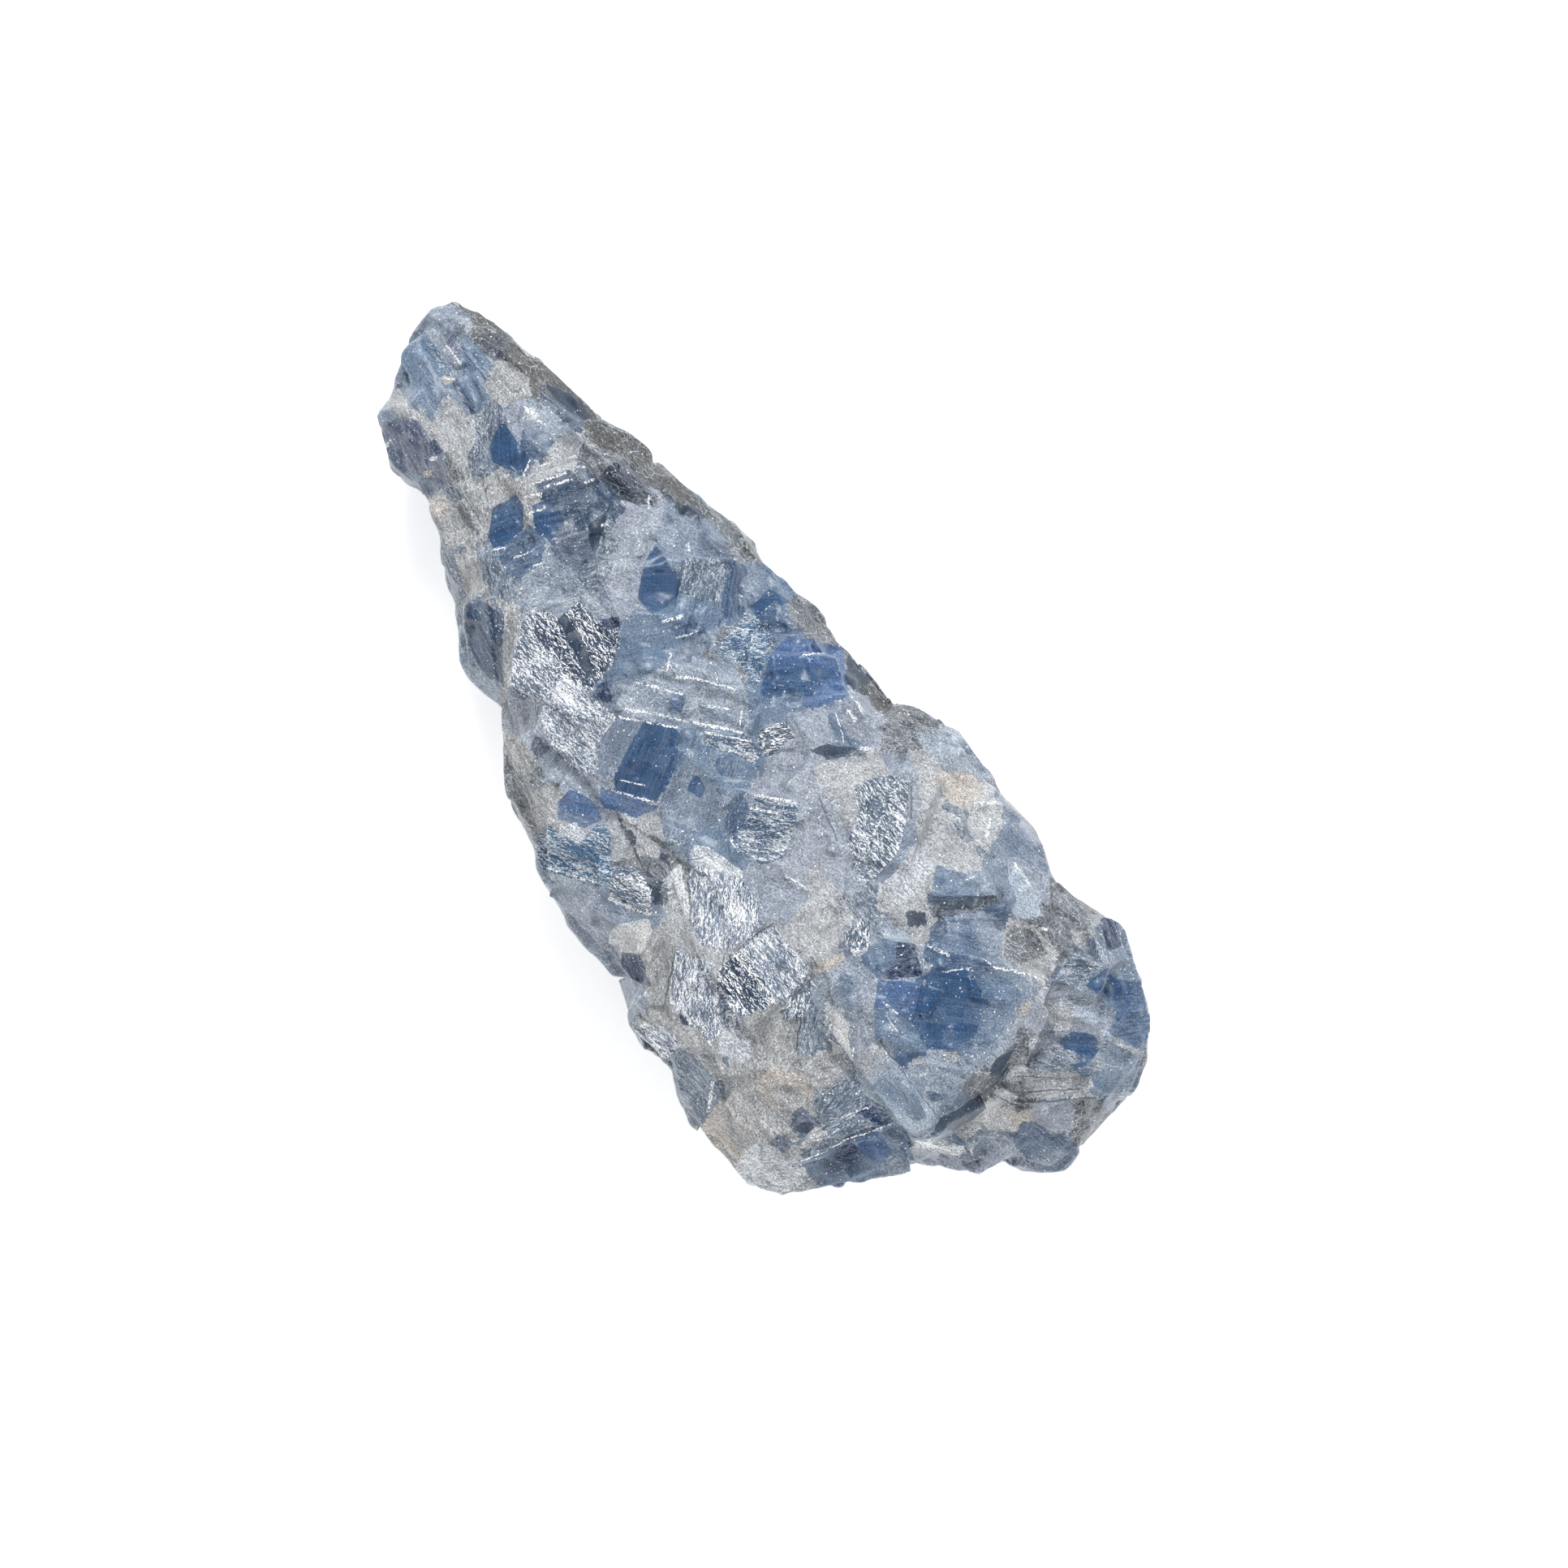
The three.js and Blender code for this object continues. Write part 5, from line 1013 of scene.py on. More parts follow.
# %% The broad end
BROAD_END = [
    ("lilac", 50, [(28.6, 10), (29.8, 12.4), (32, 12.4), (33.6, 12.2), (35, 12), (36.8, 12.6),
        (38.8, 10.2), (37.2, 8.2), (34.4, 7.6), (32, 5.6), (29.8, 6.4), (28.8, 8.4)]),
    ("violet", 50, [(30.9, 7.9), (31.5, 8.5), (31.9, 8), (31.4, 7.4)]),
    ("slate", 35, [(31.6, 6.9), (32.2, 7.9), (34, 8.7), (34.4, 7.9), (33.2, 6.2), (32, 5.9)]),
    ("pale", 35, [(32, 7), (32.9, 7.4), (33.1, 6.6), (32.2, 6.2)]),
    ("grey", 50, [(29.5, 6.8), (30.4, 7.2), (31.4, 6), (32.2, 5.8), (32.4, 5), (31.4, 5), (30.6, 5)]),
    ("white", 60, [(30.4, 6.8), (31.3, 7.3), (31.6, 6.4), (31, 5.9)]),
    ("white", 40, [(31.6, 4.2), (31.9, 5.1), (32.6, 5.3), (32.9, 4.4), (32.6, 3.4), (32, 3.3)]),
    ("grey", 30, [(32.7, 3.9), (33.4, 4), (33.9, 3.4), (33, 3.1)]),
    ("shaded_recess", 60, [(30.4, 4.1), (30.8, 5.4), (31.1, 4.3), (31.5, 4), (31.7, 3.2), (31.3, 2.6), (30.5, 3)]),
    ("frost", 52, [(32.8, 4.6), (34.2, 6.8), (35.8, 8.6), (36.6, 8.1), (36, 6.6), (34.6, 4.4), (34, 3.6)]),
    ("stone", 52, [(34.6, 4.3), (36.2, 6.7), (37.4, 8.2), (37.8, 8), (36.8, 6.5), (35.4, 4.4)]),
    ("grey", 52, [(36.4, 6.2), (37.8, 8.1), (38.6, 7), (39.2, 5.2), (38.2, 5), (37.4, 5.9)]),
    ("lilac", 30, [(35.6, 6), (36.8, 6.1), (38, 5.3), (37.9, 4.1), (37.3, 3.2), (36, 3.1), (35.3, 3.8),
        (35.1, 4.6)]),
    ("denim", 10, [(35.4, 2.4), (36, 3.1), (37.3, 3.2), (38, 4.2), (39.6, 4.6), (40, 2), (39.4, 1),
        (36.4, 0.8), (35.4, 1.6)]),
    ("steel", 10, [(37.8, 1.2), (37.9, 3.2), (39.4, 3.8), (39.8, 2), (39.2, 1)]),
    ("pale", 0, [(34.6, 0.6), (36, 0.9), (38.6, 0.9), (37.4, -0.4), (36.4, -0.9), (35, -0.2)]),
    ("milk", 40, [(32.2, 1.5), (33, 1.9), (35, 2.8), (35.7, 1.4), (34.6, 0.4), (34, -0.2), (33.4, 0),
        (32.6, 0.9)]),
    ("cream", 40, [(34.2, 1.9), (35, 3.6), (35.8, 3), (35.3, 2.3), (35.6, 1.5)]),
    ("white", 30, [(31.8, 2.6), (33.6, 3.2), (34.4, 2.5), (33.4, 2), (32.4, 1.8)]),
    ("grey", 80, [(30.1, 2.9), (31.5, 2.4), (31.9, 1.6), (31.2, 0.6), (30.2, 0.8)]),
    ("steel", 80, [(30.2, 0.7), (31.5, 0.3), (31.5, -1.9), (30.8, -2.1), (30, -0.8)]),
    ("denim", 60, [(29, -2), (29.6, -1.4), (30.4, -0.6), (30.3, -1.5), (30, -2.1)]),
    ("shaded_recess", 85, [(31.7, 1.1), (32.9, 0.9), (33.1, 0), (32.8, -1.8), (32, -3.8), (31.3, -2.4),
        (31.6, -0.6)]),
    ("stone", 85, [(33, 0.3), (33.5, 0.2), (33.3, -1.6), (32.9, -1.9)]),
    ("pale", 10, [(33.8, 0), (36, -0.2), (36.2, -2.2), (34.8, -2.2), (33.9, -1.2)]),
    ("denim", 20, [(32.2, -2.2), (34.2, -2), (34.4, -2.6), (33, -2.9), (32, -3.6)]),
    ("white", 80, [(33.4, -0.2), (33.8, -0.5), (33.9, -1.3), (33.4, -1.9), (33.1, -1.3)]),
    ("white", 40, [(31.2, -5.2), (32.1, -3.8), (33.3, -2.8), (34.1, -2.2), (34.5, -2.9), (33.6, -3.8),
        (32.4, -4.7)]),
    ("lilac", 38, [(31.6, -5.5), (32.6, -4.7), (33.7, -3.8), (36.2, -2.3), (36, -3.2), (34.6, -4.4),
        (32.6, -6)]),
    ("denim", 0, [(29.6, -5.2), (31.4, -5.2), (32.8, -6), (31.6, -6.6), (29.4, -6.4)]),
    ("blue", 72, [(29, -6.6), (30.4, -6.5), (32.6, -6.2), (32.2, -7.6), (31.7, -9.6), (31, -11.4),
        (29, -12.7), (27.2, -12.6), (28.2, -10)]),
    ("royal", 72, [(29, -6.7), (31.1, -6.7), (31.2, -8), (30, -8.5), (28.7, -8.4)]),
    ("inky", 72, [(28.4, -8.7), (30.2, -8.6), (30.2, -9.8), (29.6, -11.6), (28.2, -11.4)]),
    ("pale", 72, [(31.3, -6.7), (32.4, -6.4), (31.8, -8.4), (31.3, -8)]),
    ("slate", 70, [(27, -6.9), (28.7, -6.6), (28.1, -8.4), (27.8, -9.8), (26.9, -12), (26, -10.4),
        (26.4, -8.4)]),
    ("stone", 70, [(26, -10), (27.2, -9.6), (27, -11.6), (26.4, -12.2)]),
    ("inky", 60, [(27.1, -5.9), (28.4, -5.3), (29.7, -5.2), (28.9, -6.3), (27.2, -7)]),
    ("inky", 72, [(28, -8.9), (28.7, -6.6), (29.2, -6.5), (28.4, -8.9)]),
    ("steel", -30, [(26.4, 17.4), (28, 17.6), (31.4, 16.6), (32, 15.8), (30.4, 15.2), (28.8, 15.2),
        (27, 16)]),
    ("inky", -30, [(26.8, 16.5), (27.6, 17.2), (29.5, 16.4), (29.3, 15.4), (28.8, 15.2), (27.4, 16)]),
    ("slate", -30, [(27.1, 15.6), (27.6, 16), (28.9, 15.3), (30, 14.5), (28.7, 13.7), (27.7, 14.2)]),
    ("slate", 60, [(27, 13.9), (28.4, 13.9), (29.8, 14.4), (30, 13), (29.9, 12), (29.2, 11.3),
        (27.9, 11.8)]),
    ("slate", 60, [(28.2, 13.3), (29.5, 13.7), (29.6, 12.4), (28.9, 12)]),
    ("stone", 60, [(27, 15.4), (27.5, 15.2), (27.8, 13.8), (27.2, 13.6)]),
    ("umber", 60, [(26.9, 12.6), (27.4, 13.1), (27.8, 12.6), (27.4, 12.1)]),
    ("denim", 60, [(30.1, 14.4), (30.6, 15), (31.8, 16.3), (33.4, 16), (34.8, 15.2), (36, 14),
        (36.9, 12.8), (35.2, 12.1), (34.2, 11.6), (33.7, 11.7), (33.3, 12.8), (32.4, 12.5), (31.2, 12.6),
        (30.2, 12.3), (29.9, 12.9)]),
    ("deep", 60, [(30.1, 14.1), (31.2, 14.5), (32, 15.2), (33, 14.6), (33.6, 13.6), (34, 12.5),
        (33.5, 12.6), (32.4, 12.9), (31.2, 12.7), (30.2, 12.4)]),
    ("slate", 60, [(31.9, 12.3), (33.2, 13.3), (33.4, 12.4), (32.6, 11.9)]),
    ("lilac", 60, [(32.7, 11.5), (33.6, 12), (33.9, 11.8), (33.2, 10.9)]),
    ("steel", 40, [(34.1, 11.3), (35.4, 12.2), (36.9, 12.6), (38, 11.2), (38.8, 10.2), (38.6, 9.4),
        (37.9, 8.5), (36.6, 8.2), (35.8, 8.4), (35.9, 9.9), (34.7, 10.4)]),
    ("blue", 40, [(36, 9.9), (37.4, 9.8), (37.9, 9.2), (37.5, 8.6), (36.6, 8.2), (36, 8.4)]),
    ("stone", 50, [(34.4, 11.6), (36.4, 12.5), (36.8, 12.3), (35, 11.4)]),
    ("slate", 50, [(29.6, 10.3), (31.1, 12.2), (31.8, 12.2), (30.6, 10.3), (30, 9.9)]),
    ("sky", 50, [(30.8, 10.6), (31.6, 12.1), (32, 12.1), (33, 11.3), (31.8, 10.1)]),
    ("sky", 50, [(28.9, 10.2), (30.1, 12), (30.5, 12), (29.7, 10.2)]),
    ("frost", 50, [(29.2, 9.6), (30.4, 10.4), (31.8, 10.1), (32.1, 9.2), (31.3, 8.3), (30.2, 8.6),
        (29.4, 8.6)]),
    ("deep", 45, [(32.2, 8.3), (32.3, 9.4), (33.2, 10.4), (33.8, 10.6), (34.7, 10), (34.9, 9.3),
        (34.3, 8.5), (33.6, 8.7), (33, 8.1)]),
    ("denim", 45, [(34.2, 7.8), (34.2, 8.8), (34.9, 9.3), (35.8, 8.7), (35.6, 7.9)]),
    ("slate", 50, [(33.8, 10.6), (34.2, 11.4), (35, 10.6), (34.8, 10.1)]),
    ("violet", 50, [(30.9, 7.9), (31.5, 8.5), (31.9, 8), (31.4, 7.4)]),
    ("slate", 50, [(32.1, 7.9), (33, 7.9), (33.8, 8.7), (34.2, 7.9), (33.2, 7.3)]),
]

# %% All faces of the upper side
PATCHES = (
    NARROW_TIP + TIP_TO_MIDDLE + CRUMPLED_FACES + NEAR_EDGE_OF_TIP + SLATS
    + FOIL_FACES + NEAR_EDGE_OF_MIDDLE + FAR_EDGE + BIG_CRYSTAL + BROAD_END
)
print("faces outlined:", len(PATCHES))

# %% [markdown]
# ## Steps, cracks and soft places
# Calcite breaks in steps. The lip of a step shows as a bright broken line, painted: a painted
# highlight, partly bruised crystal. An open crack shows as a dark line of painted shade. Both are
# listed by their two ends and a width in millimetres.

# %% Bright step lines, painted highlights: from, to, width
STEP_LINES = [
    ((-7.8, -2.3), (-4.2, 0.8), 0.4), ((-4.2, 0.8), (-0.3, 4.1), 0.4), ((-7.3, -2.8), (-3.9, 0.2), 0.35),
    ((-8.6, -0.2), (-5.6, 2), 0.3), ((-7, 2.5), (-5.8, 3.7), 0.5), ((-6.2, 3.4), (-3.6, 5.3), 0.3),
    ((-3.8, 3), (-2.7, 4), 0.4), ((-2.4, 1.6), (0.2, 3.8), 0.3), ((-2, 4.8), (-1.2, 4), 0.3),
    ((-3.3, -6.6), (-0.5, -4.6), 0.35), ((-3.5, -5.6), (-2, -4.4), 0.2), ((-8.6, 3.2), (-7.7, 2.1), 0.4),
    ((-9.3, 4.3), (-8.7, 5.8), 0.3), ((-10.9, 4.2), (-10.3, 5.6), 0.5), ((-25, 3), (-24.1, 5.5), 0.4),
    ((-24.3, 3.4), (-23.5, 5.4), 0.35), ((-24.7, 1.8), (-24, 3), 0.5), ((-23.5, 1.2), (-23.1, 2.5), 0.4),
    ((-25.8, 4.2), (-25.5, 5.1), 0.4), ((-21.5, -1.6), (-21.2, -0.5), 0.4), ((-20.2, -1), (-20, -0.2), 0.3),
    ((-22.9, -2.5), (-22.5, -1.7), 0.35), ((-24.9, 6.3), (-24.6, 6.8), 0.4), ((-24, 6.3), (-23.6, 6.8), 0.4),
    ((-22.7, 6), (-22.5, 6.7), 0.4), ((-19.4, 5), (-19.1, 5.5), 0.4), ((-18, 4.3), (-17.4, 4.2), 0.35),
    ((-30, 5.9), (-29.2, 6.2), 0.5), ((-28.5, 6.1), (-27.9, 6.4), 0.3), ((-37.2, 4.2), (-35.4, 4.2), 0.25),
    ((-35.4, 2.5), (-34.9, 3.1), 0.35), ((-26.6, 3.7), (-25.8, 2.6), 0.3), ((-19, 9.3), (-18.2, 8.6), 0.25),
    ((3.6, 1.6), (6, 3.7), 0.4), ((4.2, 0.8), (5.4, 1.8), 0.4), ((2.6, 10.2), (4.6, 9.4), 0.2),
    ((-2.4, 11), (-1.5, 12.3), 0.25), ((2.9, 11), (3.9, 11.1), 0.6), ((2.8, 12), (3.8, 11.8), 0.4),
    ((-1.8, -14.1), (1.5, -11.7), 0.4), ((3, -11.8), (5.8, -10.1), 0.35), ((5.8, -2), (5, -1.7), 0.4),
    ((2.3, -5.4), (3, -5.1), 0.35), ((21.7, -0.3), (23.3, 0), 0.3), ((23.4, -0.3), (24, -1.3), 0.2),
    ((22.9, -0.8), (24.2, -0.9), 0.15), ((22.8, 4.6), (24, 6.7), 0.25), ((24.8, 7.8), (27.4, 9.9), 0.4),
    ((19.7, 13.8), (21.6, 13.7), 0.4), ((20.6, 5), (22.1, 5.7), 0.45), ((20, -4.3), (22.2, -5.6), 0.3),
    ((23.2, -4.2), (23.9, -4.9), 0.25), ((24.3, -2.4), (25.4, -2.7), 0.25),
    ((24.6, 12.2), (25.1, 12.7), 0.5), ((29.4, -5.5), (28.2, -9), 0.3), ((28.2, -9), (27.9, -11), 0.2),
    ((27.9, -11), (27.4, -12.5), 0.35), ((27.4, -6), (26.6, -8.6), 0.25), ((31.6, -4.9), (34.4, -2.4), 0.7),
    ((33.6, -1.8), (33.7, -0.4), 0.5), ((34.6, -1.9), (35, -2.2), 0.4), ((18.6, -14), (20.2, -15.7), 0.5),
    ((12.2, -12.2), (14.4, -12.9), 0.3), ((18.4, 10.2), (18.6, 10.8), 0.3), ((-14.4, 9.4), (-13.8, 9), 0.3),
    ((5.6, 9.8), (6.2, 10.6), 0.5), ((14.6, 14.6), (15.2, 15.6), 0.5), ((16, 14.4), (16.8, 13.4), 0.5),
    ((10, -0.2), (11.6, 0.4), 0.3),
]
print("step lines:", len(STEP_LINES))

# %% Dark cracks, painted shade in them: from, to, width
CRACKS = [
    ((-36, 5), (-33.5, 4.95), 0.25), ((6.8, 5.3), (8.2, 5), 0.35), ((8.2, 5), (10.1, 4.4), 0.35),
    ((-12.6, -6.9), (-10, -6.1), 0.25), ((-10, -6.1), (-7.8, -5.8), 0.2), ((-7.8, -8.1), (-5, -7.1), 0.25),
    ((33.6, 2.6), (35.4, 4.9), 0.4), ((35.4, 4.9), (37.6, 8.2), 0.5), ((32.3, 4), (34.6, 6.6), 0.2),
    ((32.2, 1.7), (33.6, 2.5), 0.25), ((33.6, 2.5), (34.6, 3), 0.25), ((32, 2.9), (33.4, 3.3), 0.2),
    ((36, 3.1), (37.4, 3.3), 0.2), ((37.4, 3.3), (38, 4.2), 0.2), ((36.6, 0.8), (38.8, 0.9), 0.15),
    ((34.2, -2.3), (36.1, -2.2), 0.25), ((29.4, -5.3), (31.4, -5.2), 0.25), ((18, 7), (19.8, 9.4), 0.3),
    ((26.4, -5.8), (28.4, -5.2), 0.2), ((20.4, -4.2), (22.4, -5.8), 0.2), ((19, -6), (20.6, -7.8), 0.25),
    ((33.6, 3.8), (36, 7.2), 0.2), ((32.2, 1.9), (34.2, 2.7), 0.3), ((12.1, -3.2), (12, -6.6), 0.25),
    ((4.6, -5.5), (8.4, -8.2), 0.3), ((11.6, -7.4), (12.6, -8.8), 0.25), ((5, -3.9), (4.4, -5.4), 0.2),
    ((-20.4, -5), (-14, -8.6), 0.25), ((-10.1, -1.8), (-8.4, -2.6), 0.3), ((10.4, 11.3), (12.2, 9.8), 0.3),
    ((22.4, 3), (24.3, 0.5), 0.15), ((9.2, -10.4), (11.8, -13.4), 0.25), ((-1.8, -7.4), (3, -8.4), 0.3),
    ((23.8, -2.4), (31, -2.5), 0.15), ((28, 12), (29.6, 14), 0.2), ((32.2, 8.2), (34.4, 8.4), 0.2),
    ((-27.8, 0.2), (-26, -0.6), 0.25), ((-28, -1.7), (-25, -2), 0.25), ((30.6, 6.6), (32.4, 5.2), 0.25),
]
print("cracks:", len(CRACKS))

# %% Places where colours run into each other without a border: x, y, radius
SOFT_PLACES = [
    (38.4, 2.6, 2.2), (30.6, -8.6, 1.6), (29.4, -10.8, 1.6), (30.2, 9.4, 1.6), (37, 10.4, 1.8),
    (27.4, 5.4, 3), (28.4, 3.4, 1.8), (22.6, 7.4, 2.4), (19.6, -2, 2.2), (25, -1, 1.4), (25, -3.8, 1.6),
    (28, -3.6, 2.4),
]
print("soft places:", len(SOFT_PLACES))

# %% Sets of parallel lines: from, to, step to the next, how many, width, from dark (-1) to bright (1)
# dark sets are painted shade like cracks, bright ones painted highlights like step lines
COMBS = [
    ((33.4, 4.9), (35.6, 8), (0.4, -0.35), 3, 0.12, -0.6),
    ((35, 8.7), (36.3, 9.6), (0.1, 0.45), 3, 0.12, 0.7),
    ((31.7, 7.4), (33.4, 8.5), (0.35, -0.6), 3, 0.14, 0.6),
    ((29.4, 10.2), (30.5, 12), (0.55, -0.15), 4, 0.12, 0.5),
    ((26.8, -7.4), (26.3, -10.6), (0.4, 0.1), 3, 0.14, 0.6),
]
print("sets of parallel lines:", len(COMBS))

# %% Helpers for places and outlines


def wavering(places, reach, scale, shift):
    """Smooth random numbers in space, for each place."""
    return np.array([noise.noise(Vector(p) / scale + Vector((shift, 0, 0))) for p in places]) * reach


def inside(outline, places):
    """Which places lie inside the outline."""
    result = np.zeros(len(places), dtype=bool)
    near = np.nonzero(((places > outline.min(axis=0)) & (places < outline.max(axis=0))).all(axis=1))[0]
    x, y = places[near].T
    odd = np.zeros(len(near), dtype=bool)
    for (x0, y0), (x1, y1) in zip(outline, np.roll(outline, -1, axis=0)):
        if y0 != y1:
            odd ^= ((y0 > y) != (y1 > y)) & (x < (x1 - x0) * (y - y0) / (y1 - y0) + x0)
    result[near[odd]] = True
    return result


# %% [markdown]
# ## Which face a point belongs to
# The outlines lie flat, at the level of the lump's widest line. The camera stands near enough
# for higher things to look larger and further from the middle. So each point is carried along
# its line of sight down or up to that level before it is compared with the outlines.
# A place inside no outline takes the nearest face that has a plain finish.

# %% Which outlined face each point belongs to
PLAIN = ("steel", "pale", "stone", "slate", "blue", "lilac", "grey", "frost")
OUT_OF_REACH = 999
OUTLINES = [np.array(o) for _, _, o in PATCHES]
CENTRES = np.array([o.mean(axis=0) for o in OUTLINES])
CENTRES[[k not in PLAIN for k, _, _ in PATCHES]] = OUT_OF_REACH


def outlined_face(places):
    """The number of the outlined face at each place, or of the nearest plain one."""
    found = ((places[:, None] - CENTRES[None]) ** 2).sum(axis=2).argmin(axis=1)
    for number, outline in enumerate(OUTLINES):
        found[inside(outline, places)] = number
    return found


WAVER = 0.1  # mm, so that a border isn't ruler-straight
nearer = camera_distance / (camera_distance - (points[:, 2:] - GIRTH_LEVEL))
view_centre = np.array(VIEW_MIDDLE)[:2]
flat_places = (view_centre + (points[:, :2] - view_centre) * nearer) / MM
flat_places = flat_places + np.stack([wavering(points, WAVER, 0.6 * MM, s) for s in (0, 31)], axis=1)
face_of = outlined_face(flat_places)
print("faces that no point belongs to:", int((np.bincount(face_of, minlength=len(PATCHES)) == 0).sum()))

# %% [markdown]
# The sides and the underside draw their finishes from seeded spots in space, so that
# neighbours still look alike.

# %% Underside
chance = np.random.default_rng(11)
SPOTS_BELOW = 260
low, high = points.min(axis=0), points.max(axis=0)
spot_place = low + chance.random((SPOTS_BELOW, 3)) * (high - low)
kinds_below = ("slate", "grey", "denim", "lilac", "frost", "stone", "steel", "umber", "deep", "silver")
shares_below = (0.17, 0.13, 0.12, 0.1, 0.1, 0.14, 0.1, 0.05, 0.05, 0.04)
spot_kind = chance.choice([KINDS.index(n) for n in kinds_below], SPOTS_BELOW, p=shares_below)
spot_turn = chance.uniform(-90, 90, SPOTS_BELOW)


def nearest_spot(places):
    """The number of the nearest seeded spot, for each place."""
    tree = KDTree(SPOTS_BELOW)
    for i, p in enumerate(spot_place):
        tree.insert(p, i)
    tree.balance()
    return np.array([tree.find(p)[1] for p in places])


# %% A finish for every point
BELOW_LEVEL = 0.12
patch_kind = np.array([KINDS.index(k) for k, _, _ in PATCHES])
patch_turn = np.array([t for _, t, _ in PATCHES], dtype=float)
spot_of = nearest_spot(points)
below = softened(outward[:, 2], 3) < BELOW_LEVEL
kind_of = np.where(below, spot_kind[spot_of], patch_kind[face_of])
number_of = np.where(below, len(PATCHES) + spot_of, face_of)
print("points that take a spot's finish:", int(below.sum()), "of", count)

# %% Colours and shares at every point
colour = light_of([FINISHES[k][0] for k in KINDS])
shares = np.array([FINISHES[k][1:] for k in KINDS])
mottle = wavering(points, 0.14, 1.7 * MM, 7) + wavering(points, 0.05, 0.6 * MM, 19)
milky = 0.6 * softened(colour[kind_of], 12) + 0.4 * softened(colour[kind_of], 60)
print("finishes in use:", len(np.unique(kind_of)), "of", len(KINDS))

# %% [markdown]
# Two faces meet along a line that cuts through triangles. So each triangle keeps two finishes
# and, at its corners, how far they are from that line. The shader then draws a crisp border that
# the net itself is too coarse for.

# %% Two finishes for every triangle
BORDER_REACH = 0.3  # mm on either side of a border
FAR_OFF = 9.0
every_kind = np.concatenate([patch_kind, spot_kind])
owners = number_of[corners]
upper = owners.max(axis=1)
lower = owners.min(axis=1)
to_border = np.where(owners == upper[:, None], BORDER_REACH, -BORDER_REACH)
split = np.nonzero(upper != lower)[0]


def edge_gap(outline, places):
    """How far each place is from the outline."""
    best = np.full(len(places), FAR_OFF)
    for start, end in zip(outline, np.roll(outline, -1, axis=0)):
        run = end - start
        t = np.clip(((places - start) @ run) / max(run @ run, 1e-9), 0, 1)
        best = np.minimum(best, np.linalg.norm(places - start - t[:, None] * run, axis=1))
    return best


for number in np.unique(upper[split]):
    if number < len(PATCHES):
        rows = split[upper[split] == number]
        gap = edge_gap(OUTLINES[number], flat_places[corners[rows].ravel()]).reshape(-1, 3)
        to_border[rows] = np.sign(to_border[rows]) * np.clip(gap, 0.01, BORDER_REACH)
print("triangles on a border:", len(split), "of", len(corners))

# %% [markdown]
# Seen through milky calcite, colours spread into each other. So every colour is mixed a little
# with those around it, and in the soft places nearly altogether. A slow random change of
# brightness is added.

# %% Colours at the corners
SOFT_EVERYWHERE = 0.28
SOFTEST = 0.95
soft = np.full(count, SOFT_EVERYWHERE)
for x, y, radius in SOFT_PLACES:
    near = 1 - np.linalg.norm(flat_places - (x, y), axis=1) / radius
    soft = np.maximum(soft, np.clip(2.0 * near, 0, SOFTEST) * ~below)
soft = soft[corners][..., None]
tints = [(1 - soft) * colour[every_kind[side]][:, None] + soft * milky[corners] for side in (lower, upper)]
tints = [np.clip(t * (1 + mottle[corners])[..., None], 0.01, 0.9) for t in tints]
for name, values in (("tint", tints[0]), ("tint over", tints[1])):
    solid = np.ones(values.shape[:2] + (1,))
    put(specimen_mesh, name, "FLOAT_COLOR", "CORNER", np.concatenate([values, solid], axis=2))
print("brightest colour:", round(float(tints[1].max()), 2), "of 1")

# %% Shares at the corners
lower_share, upper_share = [
    np.repeat(shares[every_kind[side]][:, None], 3, axis=1) for side in (lower, upper)
]
for name, values in (("finish", lower_share[..., :3]), ("finish over", upper_share[..., :3])):
    put(specimen_mesh, name, "FLOAT_VECTOR", "CORNER", values)
put(specimen_mesh, "border", "FLOAT_VECTOR", "CORNER",
    np.stack([to_border, lower_share[..., 3], upper_share[..., 3]], axis=2))
shares = softened(shares[kind_of], 1)
print("mean glitter, frost, blocks, striae:", shares.mean(axis=0).round(2))

# %% [markdown]
# Step lines and cracks are finer than the net too. Each triangle near one keeps its distance
# across the line and its place along it, and the shader draws the line from these.

# %% All lines together
HALF_SHARE = 0.32  # drawn half width, as a share of the listed width
LINES = [(s, e, w, 1.0) for s, e, w in STEP_LINES] + [(s, e, w, -1.0) for s, e, w in CRACKS]
for start, end, step, number, width, tone in COMBS:
    for i in range(number):
        move = np.array(step) * i
        LINES.append((np.array(start) + move, np.array(end) + move, width, tone))
line_start = np.array([s for s, _, _, _ in LINES], dtype=float)
line_end = np.array([e for _, e, _, _ in LINES], dtype=float)
line_half = np.array([w for _, _, w, _ in LINES]) * HALF_SHARE
line_tone = np.array([t for _, _, _, t in LINES])
run = line_end - line_start
line_length = np.linalg.norm(run, axis=1)
run = run / line_length[:, None]
print("lines:", len(LINES), "longest:", round(float(line_length.max()), 1), "mm")

# %% The nearest line of each triangle
LINE_MARGIN = 0.5  # mm round a line where triangles are looked at
LINE_REACH = 0.45
spots = flat_places[corners]
centre = spots.mean(axis=1)
nearest = np.full(len(corners), FAR_OFF)
line_of = np.full(len(corners), -1)
for i in range(len(LINES)):
    halfway = (line_start[i] + line_end[i]) / 2
    span = 0.5 * np.abs(line_end[i] - line_start[i]) + LINE_MARGIN
    rows = np.nonzero((np.abs(centre - halfway) < span).all(axis=1))[0]
    t = np.clip((centre[rows] - line_start[i]) @ run[i], 0, line_length[i])
    gap = np.linalg.norm(centre[rows] - line_start[i] - t[:, None] * run[i], axis=1)
    better = gap < np.minimum(nearest[rows], LINE_REACH)
    nearest[rows[better]] = gap[better]
    line_of[rows[better]] = i
near_line = (line_of >= 0) & ~below[corners].any(axis=1)
print("triangles near a line:", int(near_line.sum()))

